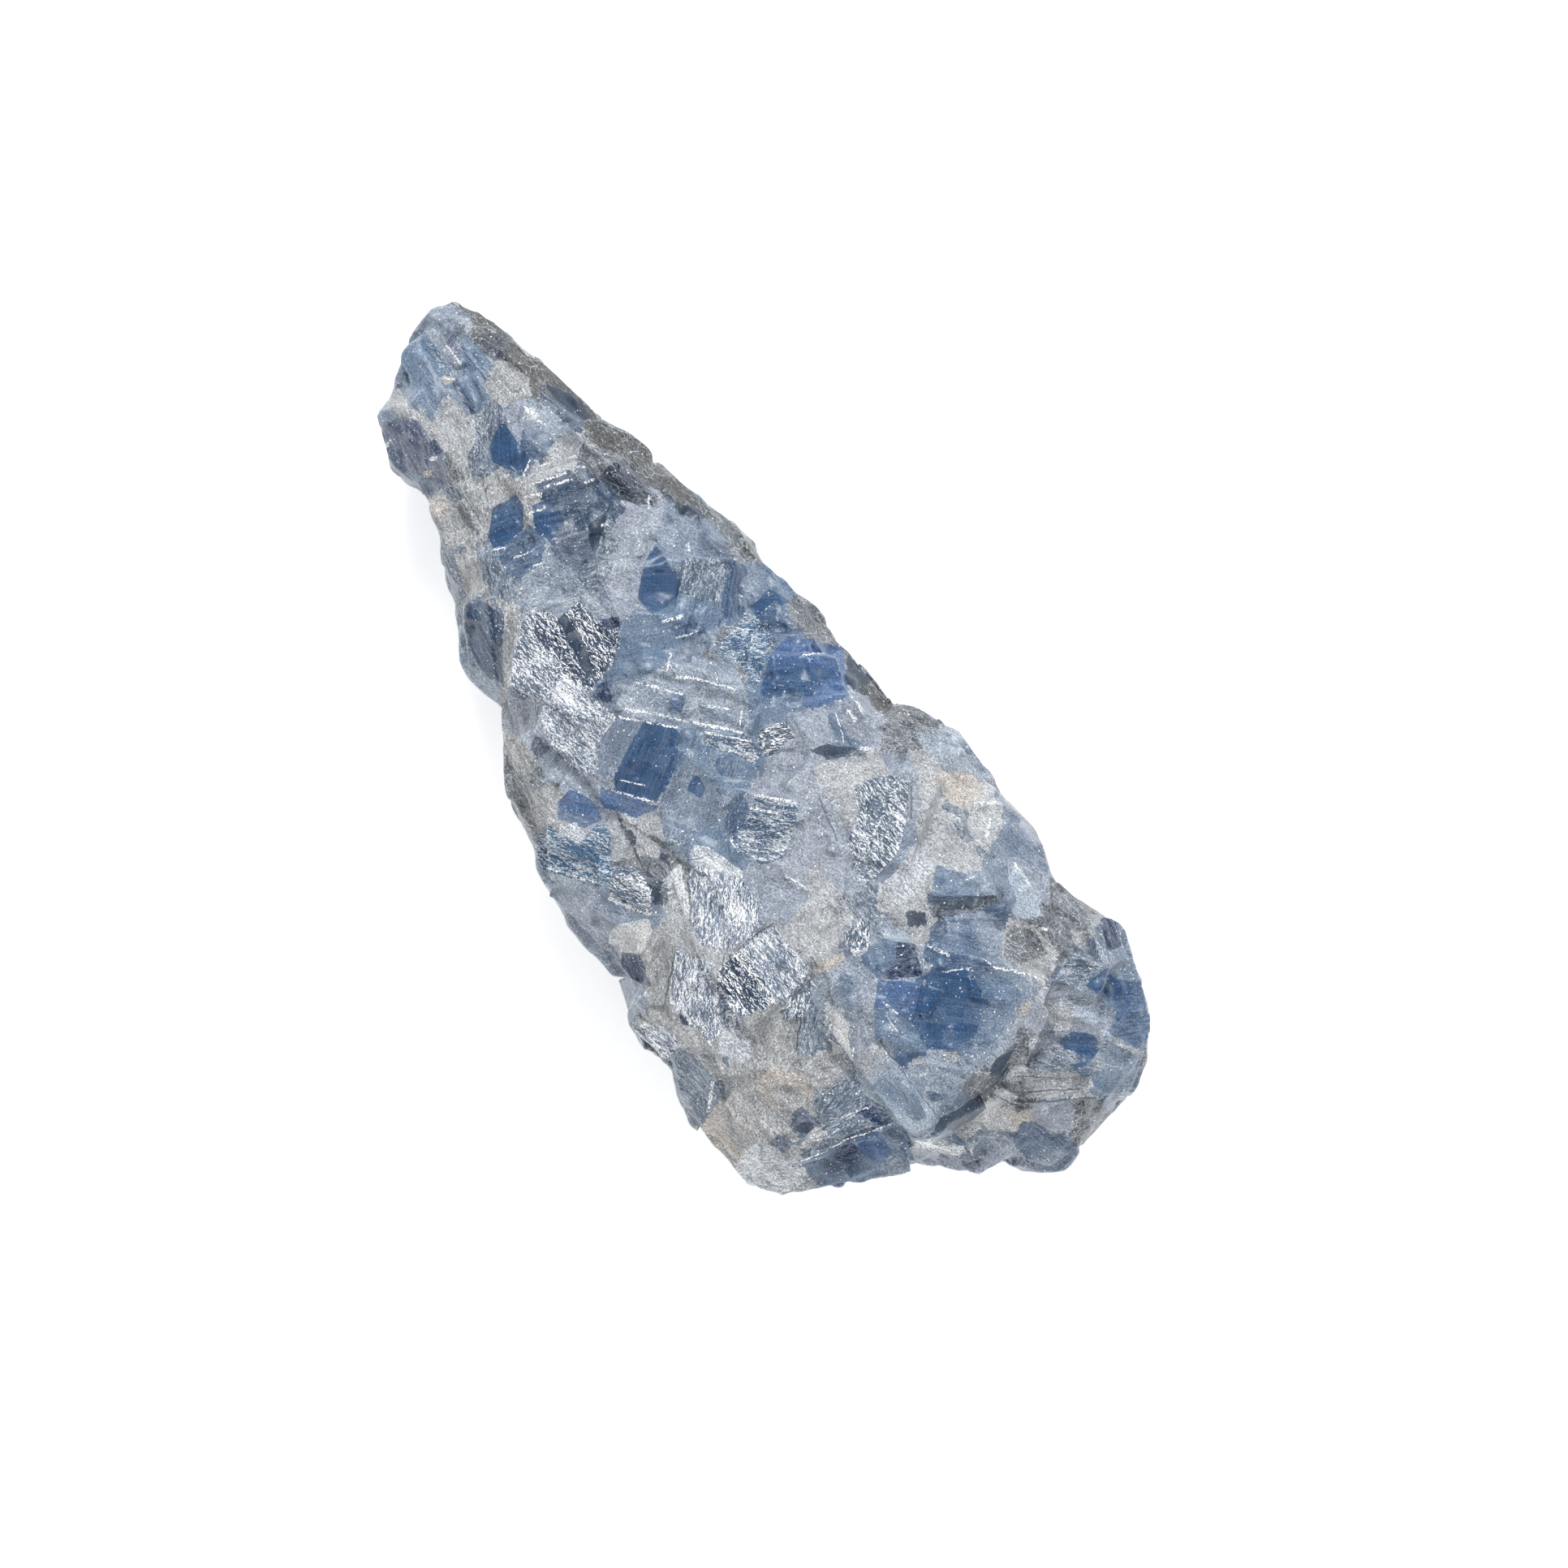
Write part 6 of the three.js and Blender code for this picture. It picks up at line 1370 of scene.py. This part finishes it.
# %% Distances from the line at the corners
apart = spots - line_start[line_of][:, None]
across_line = np.cross(run[line_of][:, None], apart) / line_half[line_of][:, None]
along_line = (apart * run[line_of][:, None]).sum(axis=2) / line_length[line_of][:, None] * 2 - 1
beyond = (np.abs(along_line) - 1) * line_length[line_of][:, None] / 2
lines = np.stack([across_line, beyond, np.repeat(line_tone[line_of][:, None], 3, axis=1)], axis=2)
lines[~near_line] = (FAR_OFF, FAR_OFF, 0)
put(specimen_mesh, "lines", "FLOAT_VECTOR", "CORNER", lines)

# %% Points on a step line or in a crack
ON_LINE = 0.2
crack = np.zeros(count)
step_line = np.zeros(count)
on_line = near_line & (nearest < ON_LINE)
for value, tone in ((crack, -1), (step_line, 1)):
    value[corners[on_line & (np.sign(line_tone[line_of]) == tone)].ravel()] = 1
print("points in a crack:", int(crack.sum()), "on a step line:", int(step_line.sum()))

# %% [markdown]
# Edges catch the light and creases hold shade, and both are painted: a pale painted highlight on
# the edges, partly worn crystal, and painted shade in the creases. A point stands out where its
# neighbours lie behind it, and lies deep where they lie in front. The filled gaps are marked as well.

# %% Edges that stand out and creases that lie deep
bend = ((around(points) - points) * outward).sum(axis=1) / (0.12 * MM)
ridge = softened(np.clip(-bend, 0, 1), 1)
crease = softened(np.clip(bend, 0, 1), 1)
cell = ((points[:, :2] - map_corner) / CELL + 0.5).astype(int).T
gap = (bridge - heights)[cell[0], cell[1]]
filled = np.clip(gap / (1.2 * MM), 0, 1) * (np.abs(points[:, 2] - top[cell[0], cell[1]]) < 0.4 * MM)
# no milky filling where a recess is painted with shade
filled = np.where(kind_of == KINDS.index("shaded_recess"), 0, filled)
marks = np.stack([ridge, crease, softened(filled, 2)], axis=1)
put(specimen_mesh, "marks", "FLOAT_VECTOR", "POINT", marks)
for name, values in (("ridge", ridge), ("crease", crease)):
    print(name, np.percentile(values, (50, 80, 95)).round(2))

# %% [markdown]
# ## Grain
# Striae, glitter and inner blocks run along the cleavage, each face in its own heading. The
# grain coordinate of a corner is its place along and across that heading, in the plane of the
# crystal face that it came from.

# %% Grain coordinates
middles = where.mean(axis=1)
plane = np.array([lump_tree.find_nearest(Vector(m))[1] for m in middles])
votes = number_of[corners]
face_number = np.where(votes[:, 1] == votes[:, 2], votes[:, 1], votes[:, 0])
turns = np.radians(np.concatenate([patch_turn, spot_turn]))[face_number]
heading = np.stack([np.cos(turns), np.sin(turns), np.zeros(len(turns))], axis=1)
heading -= (heading * plane).sum(axis=1)[:, None] * plane
steep = np.linalg.norm(heading, axis=1) < 0.2
heading[steep] = (0, 0, 1)
heading /= np.linalg.norm(heading, axis=1)[:, None]
across = np.cross(plane, heading)
shift = chance.random((len(PATCHES) + SPOTS_BELOW, 3)) * 40
grain = np.empty((len(corners), 3, 3))
grain[..., 0] = np.einsum("tcx,tx->tc", where, heading) / MM + shift[face_number, None, 0]
grain[..., 1] = np.einsum("tcx,tx->tc", where, across) / MM + shift[face_number, None, 1]
grain[..., 2] = shift[face_number, None, 2]
put(specimen_mesh, "grain", "FLOAT_VECTOR", "CORNER", grain)
print("triangles with a steep grain:", int(steep.sum()))

# %% [markdown]
# ## Relief
# Crumpled faces really are crumpled and frosted ones lumpy, by about a tenth of a millimetre.
# Moving the points gives that relief true shadows; the shader adds what is finer.

# %% Relief
FOLD_HEIGHT, LUMP_HEIGHT, SWELL_HEIGHT = 0.16, 0.12, 0.08  # mm
CRACK_DEPTH, STEP_HEIGHT = 0.12, 0.05  # mm
turn_of = np.radians(np.concatenate([patch_turn, spot_turn]))[number_of]
run_x = (points[:, 0] * np.cos(turn_of) + points[:, 1] * np.sin(turn_of)) / MM
run_y = (points[:, 1] * np.cos(turn_of) - points[:, 0] * np.sin(turn_of)) / MM
fold_places = zip(run_x * 0.7, run_y * 2.0, points[:, 2] / MM)  # longer along the grain than across
folds = np.array([noise.noise(Vector(place)) for place in fold_places])
lumps = wavering(points, 1.0, 0.8 * MM, 3)
swell = wavering(points, 1.0, 3.0 * MM, 5)
rise = FOLD_HEIGHT * shares[:, 0] * folds + LUMP_HEIGHT * shares[:, 1] * lumps + SWELL_HEIGHT * swell
rise = rise - CRACK_DEPTH * crack + STEP_HEIGHT * step_line
rise *= np.clip(points[:, 2] / (0.8 * MM), 0, 1) * MM
print("relief:", round(rise.min() / MM, 2), "to", round(rise.max() / MM, 2), "mm")

# %% Move the points
points = 0.6 * points + 0.4 * around(points) + outward * rise[:, None]
points = blunted(points, outward, 0.06 * MM, 4)
points = np.clip(points, np.array(cad_box[0]), np.array(cad_box[1]))
specimen_mesh.vertices.foreach_set("co", points.ravel())
specimen_mesh.update()
print("highest point:", round(points[:, 2].max() / MM, 2), "mm")

# %% [markdown]
# ## The stone
# Clear calcite bends light inward, so its colour comes from below the surface: blocks of deeper
# and milkier blue with straight borders, which are other cleavage planes seen through the face.

# %% Helpers for the stone's nodes
calcite.use_nodes = True
stone = calcite.node_tree
stone.nodes.clear()


def add(kind, **settings):
    """A node of the stone with its settings."""
    made = stone.nodes.new(kind)
    for name, value in settings.items():
        setattr(made, name, value)
    return made


def set_inputs(made, settings):
    """Gives plain values to a node's inputs, by name."""
    for name, value in settings.items():
        made.inputs[name].default_value = value


def plug(value, socket):
    """Links a socket, or sets a plain value."""
    if isinstance(value, bpy.types.NodeSocket):
        stone.links.new(value, socket)
    else:
        socket.default_value = value


def maths(operation, a, b=0.0, c=0.0):
    """One sum on values or sockets."""
    made = add("ShaderNodeMath", operation=operation)
    for value, socket in zip((a, b, c), made.inputs):
        plug(value, socket)
    return made.outputs[0]


def times(a, b):
    """One value times another."""
    return maths("MULTIPLY", a, b)


def times_plus(a, b, c):
    """One value times another, plus a third."""
    return maths("MULTIPLY_ADD", a, b, c)


def less(a, b):
    """One value less another."""
    return maths("SUBTRACT", a, b)


def fade(value, start, end, low=0.0, high=1.0):
    """A smooth step from low to high as the value goes from start to end."""
    made = add("ShaderNodeMapRange", interpolation_type="SMOOTHSTEP")
    for v, socket in zip((value, start, end, low, high), made.inputs):
        plug(v, socket)
    return made.outputs[0]


def blend(amount, base, over, mode="MIX"):
    """Base colour with another laid over it by an amount."""
    made = add("ShaderNodeMix", data_type="RGBA", blend_type=mode)
    plug(amount, made.inputs["Factor"])
    a, b = [s for s in made.inputs if s.type == "RGBA"]
    plug(base, a)
    plug(over, b)
    return next(s for s in made.outputs if s.type == "RGBA")


def scaled(colour, amount):
    """A colour made lighter or darker by an amount."""
    made = add("ShaderNodeVectorMath", operation="SCALE")
    plug(colour, made.inputs[0])
    plug(amount, made.inputs["Scale"])
    return made.outputs[0]


def stretched(vector, scale, shift=(0, 0, 0)):
    """The same place on a pattern that is stretched and moved."""
    made = add("ShaderNodeMapping")
    plug(vector, made.inputs["Vector"])
    set_inputs(made, {"Scale": scale, "Location": shift})
    return made.outputs[0]


def grains_of(vector, scale, detail=3.0, roughness=0.5, distortion=0.0):
    """Smooth random grey, finer with more detail."""
    made = add("ShaderNodeTexNoise")
    plug(vector, made.inputs["Vector"])
    set_inputs(made, {"Scale": scale, "Detail": detail, "Roughness": roughness, "Distortion": distortion})
    return made.outputs[0]


def stored(name, kind="Vector"):
    """A value kept on the mesh."""
    return add("ShaderNodeAttribute", attribute_name=name).outputs[kind]


def parts(vector):
    """The three numbers of a vector."""
    made = add("ShaderNodeSeparateXYZ")
    plug(vector, made.inputs[0])
    return made.outputs[0], made.outputs[1], made.outputs[2]


# %% [markdown]
# The shader reads what the mesh keeps: the grain, the marks, the lines and the two finishes of a
# triangle. A fine dust of random grey roughens every line and border.

# %% Places and lines on the stone
place = stretched(add("ShaderNodeTexCoord").outputs["Object"], (1000, 1000, 1000))  # millimetres
grain_place = stored("grain")
ridge, crease, filled = parts(stored("marks"))
across_line, beyond_line, tone = parts(stored("lines"))
dust = grains_of(place, 8, 2, 0.7)
off_line = maths("ABSOLUTE", times_plus(less(dust, 0.5), 2.2, across_line))
on_line = times(fade(off_line, 0.9, 0.55), fade(beyond_line, 0.12, -0.05))
step_line = times(on_line, maths("MAXIMUM", tone, 0.0))
crack = times(on_line, maths("MAXIMUM", times(tone, -1.0), 0.0))

# %% The finish on either side of a border
to_border, lined_under, lined_over = parts(stored("border"))
over = fade(times_plus(dust, 0.1, less(to_border, 0.05)), -0.015, 0.015)
tint = blend(over, stored("tint", "Color"), stored("tint over", "Color"))
glitter, frost, blocks = parts(blend(over, stored("finish"), stored("finish over")))
lined = times_plus(over, less(lined_over, lined_under), lined_under)

# %% [markdown]
# Inside a clear block other cleavage planes show through as leaning fields of deeper or paler
# blue. A brick pattern in two sizes, sheared like the crystal, gives their straight borders.

# %% Inner blocks


def block_pattern(width, height, shift):
    """Random greys in leaning blocks, each as wide and high as given, in millimetres."""
    x, y, z = parts(stretched(grain_place, (1, 1, 1), shift))
    leaning = add("ShaderNodeCombineXYZ")
    for value, socket in zip((times_plus(y, 0.3, x), y, z), leaning.inputs):
        plug(value, socket)
    made = add("ShaderNodeTexBrick", offset=0.37, offset_frequency=2, squash=1.4, squash_frequency=3)
    plug(leaning.outputs[0], made.inputs["Vector"])
    set_inputs(made, {"Color1": (0, 0, 0, 1), "Color2": (1, 1, 1, 1), "Scale": 1, "Mortar Size": 0})
    set_inputs(made, {"Brick Width": width, "Row Height": height})
    return made.outputs["Color"]


small_blocks = block_pattern(1.3, 0.6, (3.1, 7.7, 0))
large_blocks = times(block_pattern(3.4, 1.7, (0, 0, 0)), 0.55)
mixed = times_plus(small_blocks, 0.45, large_blocks)
darker = times(fade(mixed, 0.5, 0.8), blocks)
paler = times(fade(mixed, 0.45, 0.15), blocks)
body = blend(times(darker, 0.7), tint, (0.5, 0.57, 0.68, 1), "MULTIPLY")
body = blend(times(paler, 0.35), body, (0.42, 0.48, 0.56, 1))

# %% [markdown]
# ## Striae, frost, glitter and specks
# Fine lines run along the cleavage. Frost is a crust of tiny broken grains. Glitter comes from a
# face crumpled into slivers. Its glints are painted highlights, white where a sliver would face the
# light, and the gaps between slivers get painted shade. The slope of a crumpled height, taken over
# a small step across the creases, tells the painted glints from the painted shade.

# %% Fine surface patterns
striae = grains_of(stretched(grain_place, (0.3, 6, 1)), 1.0, 4, 0.65)
sand = grains_of(place, 4.5, 4, 0.75)


def crumpled(shift):
    """Height of a face crumpled into long creases, at a small step across them."""
    moved = stretched(grain_place, (1.2, 2.4, 1), (0, shift, 0))
    return grains_of(moved, 1.0, 3.5, 0.7, 0.3)


def chips(scale):
    """Random greys in tiny angular cells that follow the grain."""
    made = add("ShaderNodeTexVoronoi")
    plug(stretched(grain_place, scale), made.inputs["Vector"])
    set_inputs(made, {"Scale": 1})
    return parts(made.outputs["Color"])[0]


# %% Painted glints on the slivers, painted shade in their gaps, and crust
SLOPE_STEP = 0.13
patchy = grains_of(stretched(grain_place, (0.4, 0.7, 1)), 1.0, 2, 0.5)
rise_here = crumpled(0)
slope = less(crumpled(SLOPE_STEP), rise_here)
slope = times_plus(less(patchy, 0.5), 0.24, slope)
slope = times_plus(less(chips((5, 9, 1)), 0.5), 0.1, slope)
# painted highlight: white glints where a crumpled sliver would face the light
painted_glints = times(fade(slope, 0.005, 0.055), glitter)
# painted shade between the crumpled slivers
painted_gap_shade = times(fade(slope, -0.02, -0.09), glitter)
crust = times(fade(sand, 0.47, 0.62), frost)

# %% [markdown]
# White specks are tiny chips, and where a face glitters some are painted glints. They lie in
# clouds, fewer on a clean clear face and most where it glitters. Hairline cracks follow the borders
# of angular cells, and only frosted faces have them.

# %% Specks and hairline cracks


def speckle(per_mm, rarity, size):
    """Tiny spots of random size; rarity from 0 to 1 is the share of cells without one."""
    cells = add("ShaderNodeTexVoronoi")
    plug(place, cells.inputs["Vector"])
    set_inputs(cells, {"Scale": per_mm})
    chosen = parts(cells.outputs["Color"])[0]
    radius = times(fade(chosen, rarity, 1.0), size * per_mm)
    return fade(less(radius, cells.outputs["Distance"]), 0.0, 0.03 * per_mm)


def hairs(scale, shift):
    """Hairline cracks: the borders of angular cells along the grain, here and there."""
    cells = add("ShaderNodeTexVoronoi", feature="DISTANCE_TO_EDGE")
    plug(stretched(grain_place, scale, shift), cells.inputs["Vector"])
    set_inputs(cells, {"Scale": 1})
    thin = fade(times_plus(dust, 0.06, cells.outputs["Distance"]), 0.075, 0.045)
    here = fade(grains_of(stretched(place, (1, 1, 1), shift), 0.5, 2), 0.48, 0.56)
    frosted = fade(frost, 0.15, 0.4)
    return times(thin, times(here, frosted))


specks = maths("MAXIMUM", speckle(2.0, 0.5, 0.095), speckle(4.2, 0.55, 0.07))
clouds = times(fade(dust, 0.35, 0.5), fade(grains_of(place, 0.13, 1), 0.36, 0.46))
specks = times(specks, clouds)
rough = fade(maths("ADD", glitter, frost), 0.02, 0.15)
specks = times(specks, times_plus(rough, 0.4, 0.6))
glints = times(fade(glitter, 0.2, 0.7), fade(patchy, 0.42, 0.6))
# painted glints where a face glitters
specks = maths("MAXIMUM", specks, times(speckle(4.2, 0.35, 0.105), glints))

# %% Lay the patterns over the body colour
# white of painted glints and painted step highlights, and of tiny chips
GLINT_AND_CHIP_WHITE = (0.98, 0.99, 1.0, 1)
light_lines = times(fade(striae, 0.5, 0.68), times(lined, 0.4))
dark_lines = times(fade(striae, 0.5, 0.34), times(lined, 0.6))
body = blend(light_lines, body, (0.55, 0.6, 0.66, 1))
body = blend(dark_lines, body, (0.55, 0.6, 0.68, 1), "MULTIPLY")
body = blend(times(crust, 0.35), body, (0.74, 0.76, 0.78, 1))
# painted shade in the gaps of crumpled faces
body = blend(times(painted_gap_shade, 0.85), body, (0.3, 0.36, 0.44, 1), "MULTIPLY")
# painted glints on crumpled faces
body = blend(painted_glints, body, GLINT_AND_CHIP_WHITE)
# white chips, and painted glints where a face glitters
body = blend(specks, body, GLINT_AND_CHIP_WHITE)
body = blend(times(hairs((0.7, 1.5, 1), (0, 0, 0)), 0.45), body, (0.4, 0.45, 0.52, 1), "MULTIPLY")
body = blend(times(hairs((0.9, 1.9, 1), (7, 3, 0)), 0.35), body, (0.9, 0.93, 0.97, 1))
grit = grains_of(place, 17, 1, 0.5)
body = scaled(body, times_plus(dust, 2.4, times_plus(grit, 1.1, -0.8)))
print("nodes with the patterns:", len(stone.nodes))

# %% [markdown]
# Pale edges and step lines are painted highlights, partly worn and bruised crystal, and dark creases
# and cracks are painted shade. Step lines come and go along their length, because only parts of a
# lip are bruised and catch the light. Last, the whole colour is deepened a little, because light
# comes back out of the stone through more blue.

# %% Painted highlights on edges and step lines, painted shade in creases and cracks
DEEPENING = 1.14
broken = fade(sand, 0.38, 0.58)
body = blend(times(filled, 0.1), body, (0.42, 0.47, 0.52, 1))
# painted shade in creases
body = blend(times(fade(crease, 0.15, 0.8), 0.25), body, (0.5, 0.53, 0.57, 1), "MULTIPLY")
edge_highlight_and_wear = times(fade(ridge, 0.2, 0.8), broken)
# painted highlight on edges, partly worn crystal
body = blend(times(edge_highlight_and_wear, 0.4), body, (0.74, 0.78, 0.82, 1))
# painted shade in open cracks
body = blend(times(crack, 0.75), body, (0.28, 0.31, 0.36, 1), "MULTIPLY")
long_breaks = fade(grains_of(place, 1.3, 3, 0.7), 0.33, 0.45)
short_breaks = fade(grains_of(place, 4.5, 1), 0.33, 0.43)
comes_and_goes = times(long_breaks, short_breaks)
# painted highlight along the step lips, partly bruised crystal
bright = times(step_line, times(fade(dust, 0.44, 0.52), comes_and_goes))
body = blend(bright, body, GLINT_AND_CHIP_WHITE)
deeper = add("ShaderNodeGamma")
plug(body, deeper.inputs["Color"])
set_inputs(deeper, {"Gamma": DEEPENING})
body = scaled(deeper.outputs[0], 1.1)

# %% [markdown]
# The finest relief is left to a bump map: striae, the sand of the crust, and the creases of
# crumpled faces. Deep blue faces are clear and should look into the stone, so their shine is
# weaker than that of pale ones. A thin layer below the surface glows.

# %% Fine relief and shine
BUMP_HEIGHT = 0.12 * MM
relief = times(times(striae, lined), 0.4)
relief = times_plus(times(sand, times_plus(frost, 0.8, 0.12)), 1.0, relief)
relief = times_plus(times(rise_here, glitter), 3.0, relief)
bump = add("ShaderNodeBump")
set_inputs(bump, {"Strength": 0.7, "Distance": BUMP_HEIGHT})
plug(relief, bump.inputs["Height"])
gloss = times_plus(frost, 0.25, 0.22)
gloss = times_plus(grains_of(place, 0.7, 3), 0.15, gloss)
brightness = add("ShaderNodeRGBToBW")
plug(tint, brightness.inputs[0])
shine = fade(brightness.outputs[0], 0.01, 0.12, 0.12, 0.5)

# %% Shader
GLOW_DEPTH = 0.5 * MM
shader = add("ShaderNodeBsdfPrincipled")
plug(body, shader.inputs["Base Color"])
plug(gloss, shader.inputs["Roughness"])
plug(shine, shader.inputs["Specular IOR Level"])
plug(bump.outputs[0], shader.inputs["Normal"])
set_inputs(shader, {"IOR": 1.5, "Subsurface Weight": 0.25, "Subsurface Scale": GLOW_DEPTH})
set_inputs(shader, {"Subsurface Radius": (0.8, 1.0, 1.2)})
surface = add("ShaderNodeOutputMaterial")
plug(shader.outputs[0], surface.inputs["Surface"])
print("nodes in the stone:", len(stone.nodes))

# %% [markdown]
# ## Floor and light
# A white table under soft studio light: a large soft box beyond the far side of the lump, a weak
# one on the near side, and white all round.

# %% Floor
floor_mesh = bpy.data.meshes.new("floor")
floor_mesh.from_pydata([(-2, -2, 0), (2, -2, 0), (2, 2, 0), (-2, 2, 0)], [], [(0, 1, 2, 3)])
floor = bpy.data.objects.new("floor", floor_mesh)
scene.collection.objects.link(floor)
table = bpy.data.materials.new("white table")
table.use_nodes = True
table_shader = table.node_tree.nodes["Principled BSDF"]
set_inputs(table_shader, {"Base Color": (0.93, 0.93, 0.93, 1), "Roughness": 0.9})
set_inputs(table_shader, {"Emission Color": (1, 1, 1, 1), "Emission Strength": 0.5})
floor_mesh.materials.append(table)
floor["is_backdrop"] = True

# %% Lights


def soft_box(name, place, size, watts):
    """A square light that faces the middle of the lump."""
    data = bpy.data.lights.new(name, "AREA")
    data.size = size
    data.energy = watts
    light = bpy.data.objects.new(name, data)
    scene.collection.objects.link(light)
    light.location = place
    light.rotation_euler = (Vector((0, 0, GIRTH_LEVEL)) - light.location).to_track_quat("-Z", "Y").to_euler()


soft_box("far soft box", VIEW_UP * 0.55 + Vector((0, 0, 0.6)), 0.28, 4.5)
soft_box("near soft box", VIEW_UP * -0.5 + right * 0.2 + Vector((0, 0, 0.6)), 0.5, 1.0)
world = bpy.data.worlds.new("white room")
world.use_nodes = True
set_inputs(world.node_tree.nodes["Background"], {"Color": (1, 1, 1, 1), "Strength": 0.55})
scene.world = world
scene.view_settings.view_transform = "Standard"

# %% The specimen gets its stone and smooth shading and takes the solid model's place
specimen_mesh.materials.clear()
specimen_mesh.materials.append(calcite)
specimen_mesh.shade_smooth()
specimen_mesh.set_sharp_from_angle(angle=math.radians(30))
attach(specimen, "root")
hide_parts("blue_calcite")
made_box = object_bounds()
sizes = {"cad": [list(c) for c in cad_box], "visual": [list(c) for c in made_box]}
print("visual model:", [tuple(round(c / MM, 2) for c in corner) for corner in made_box])
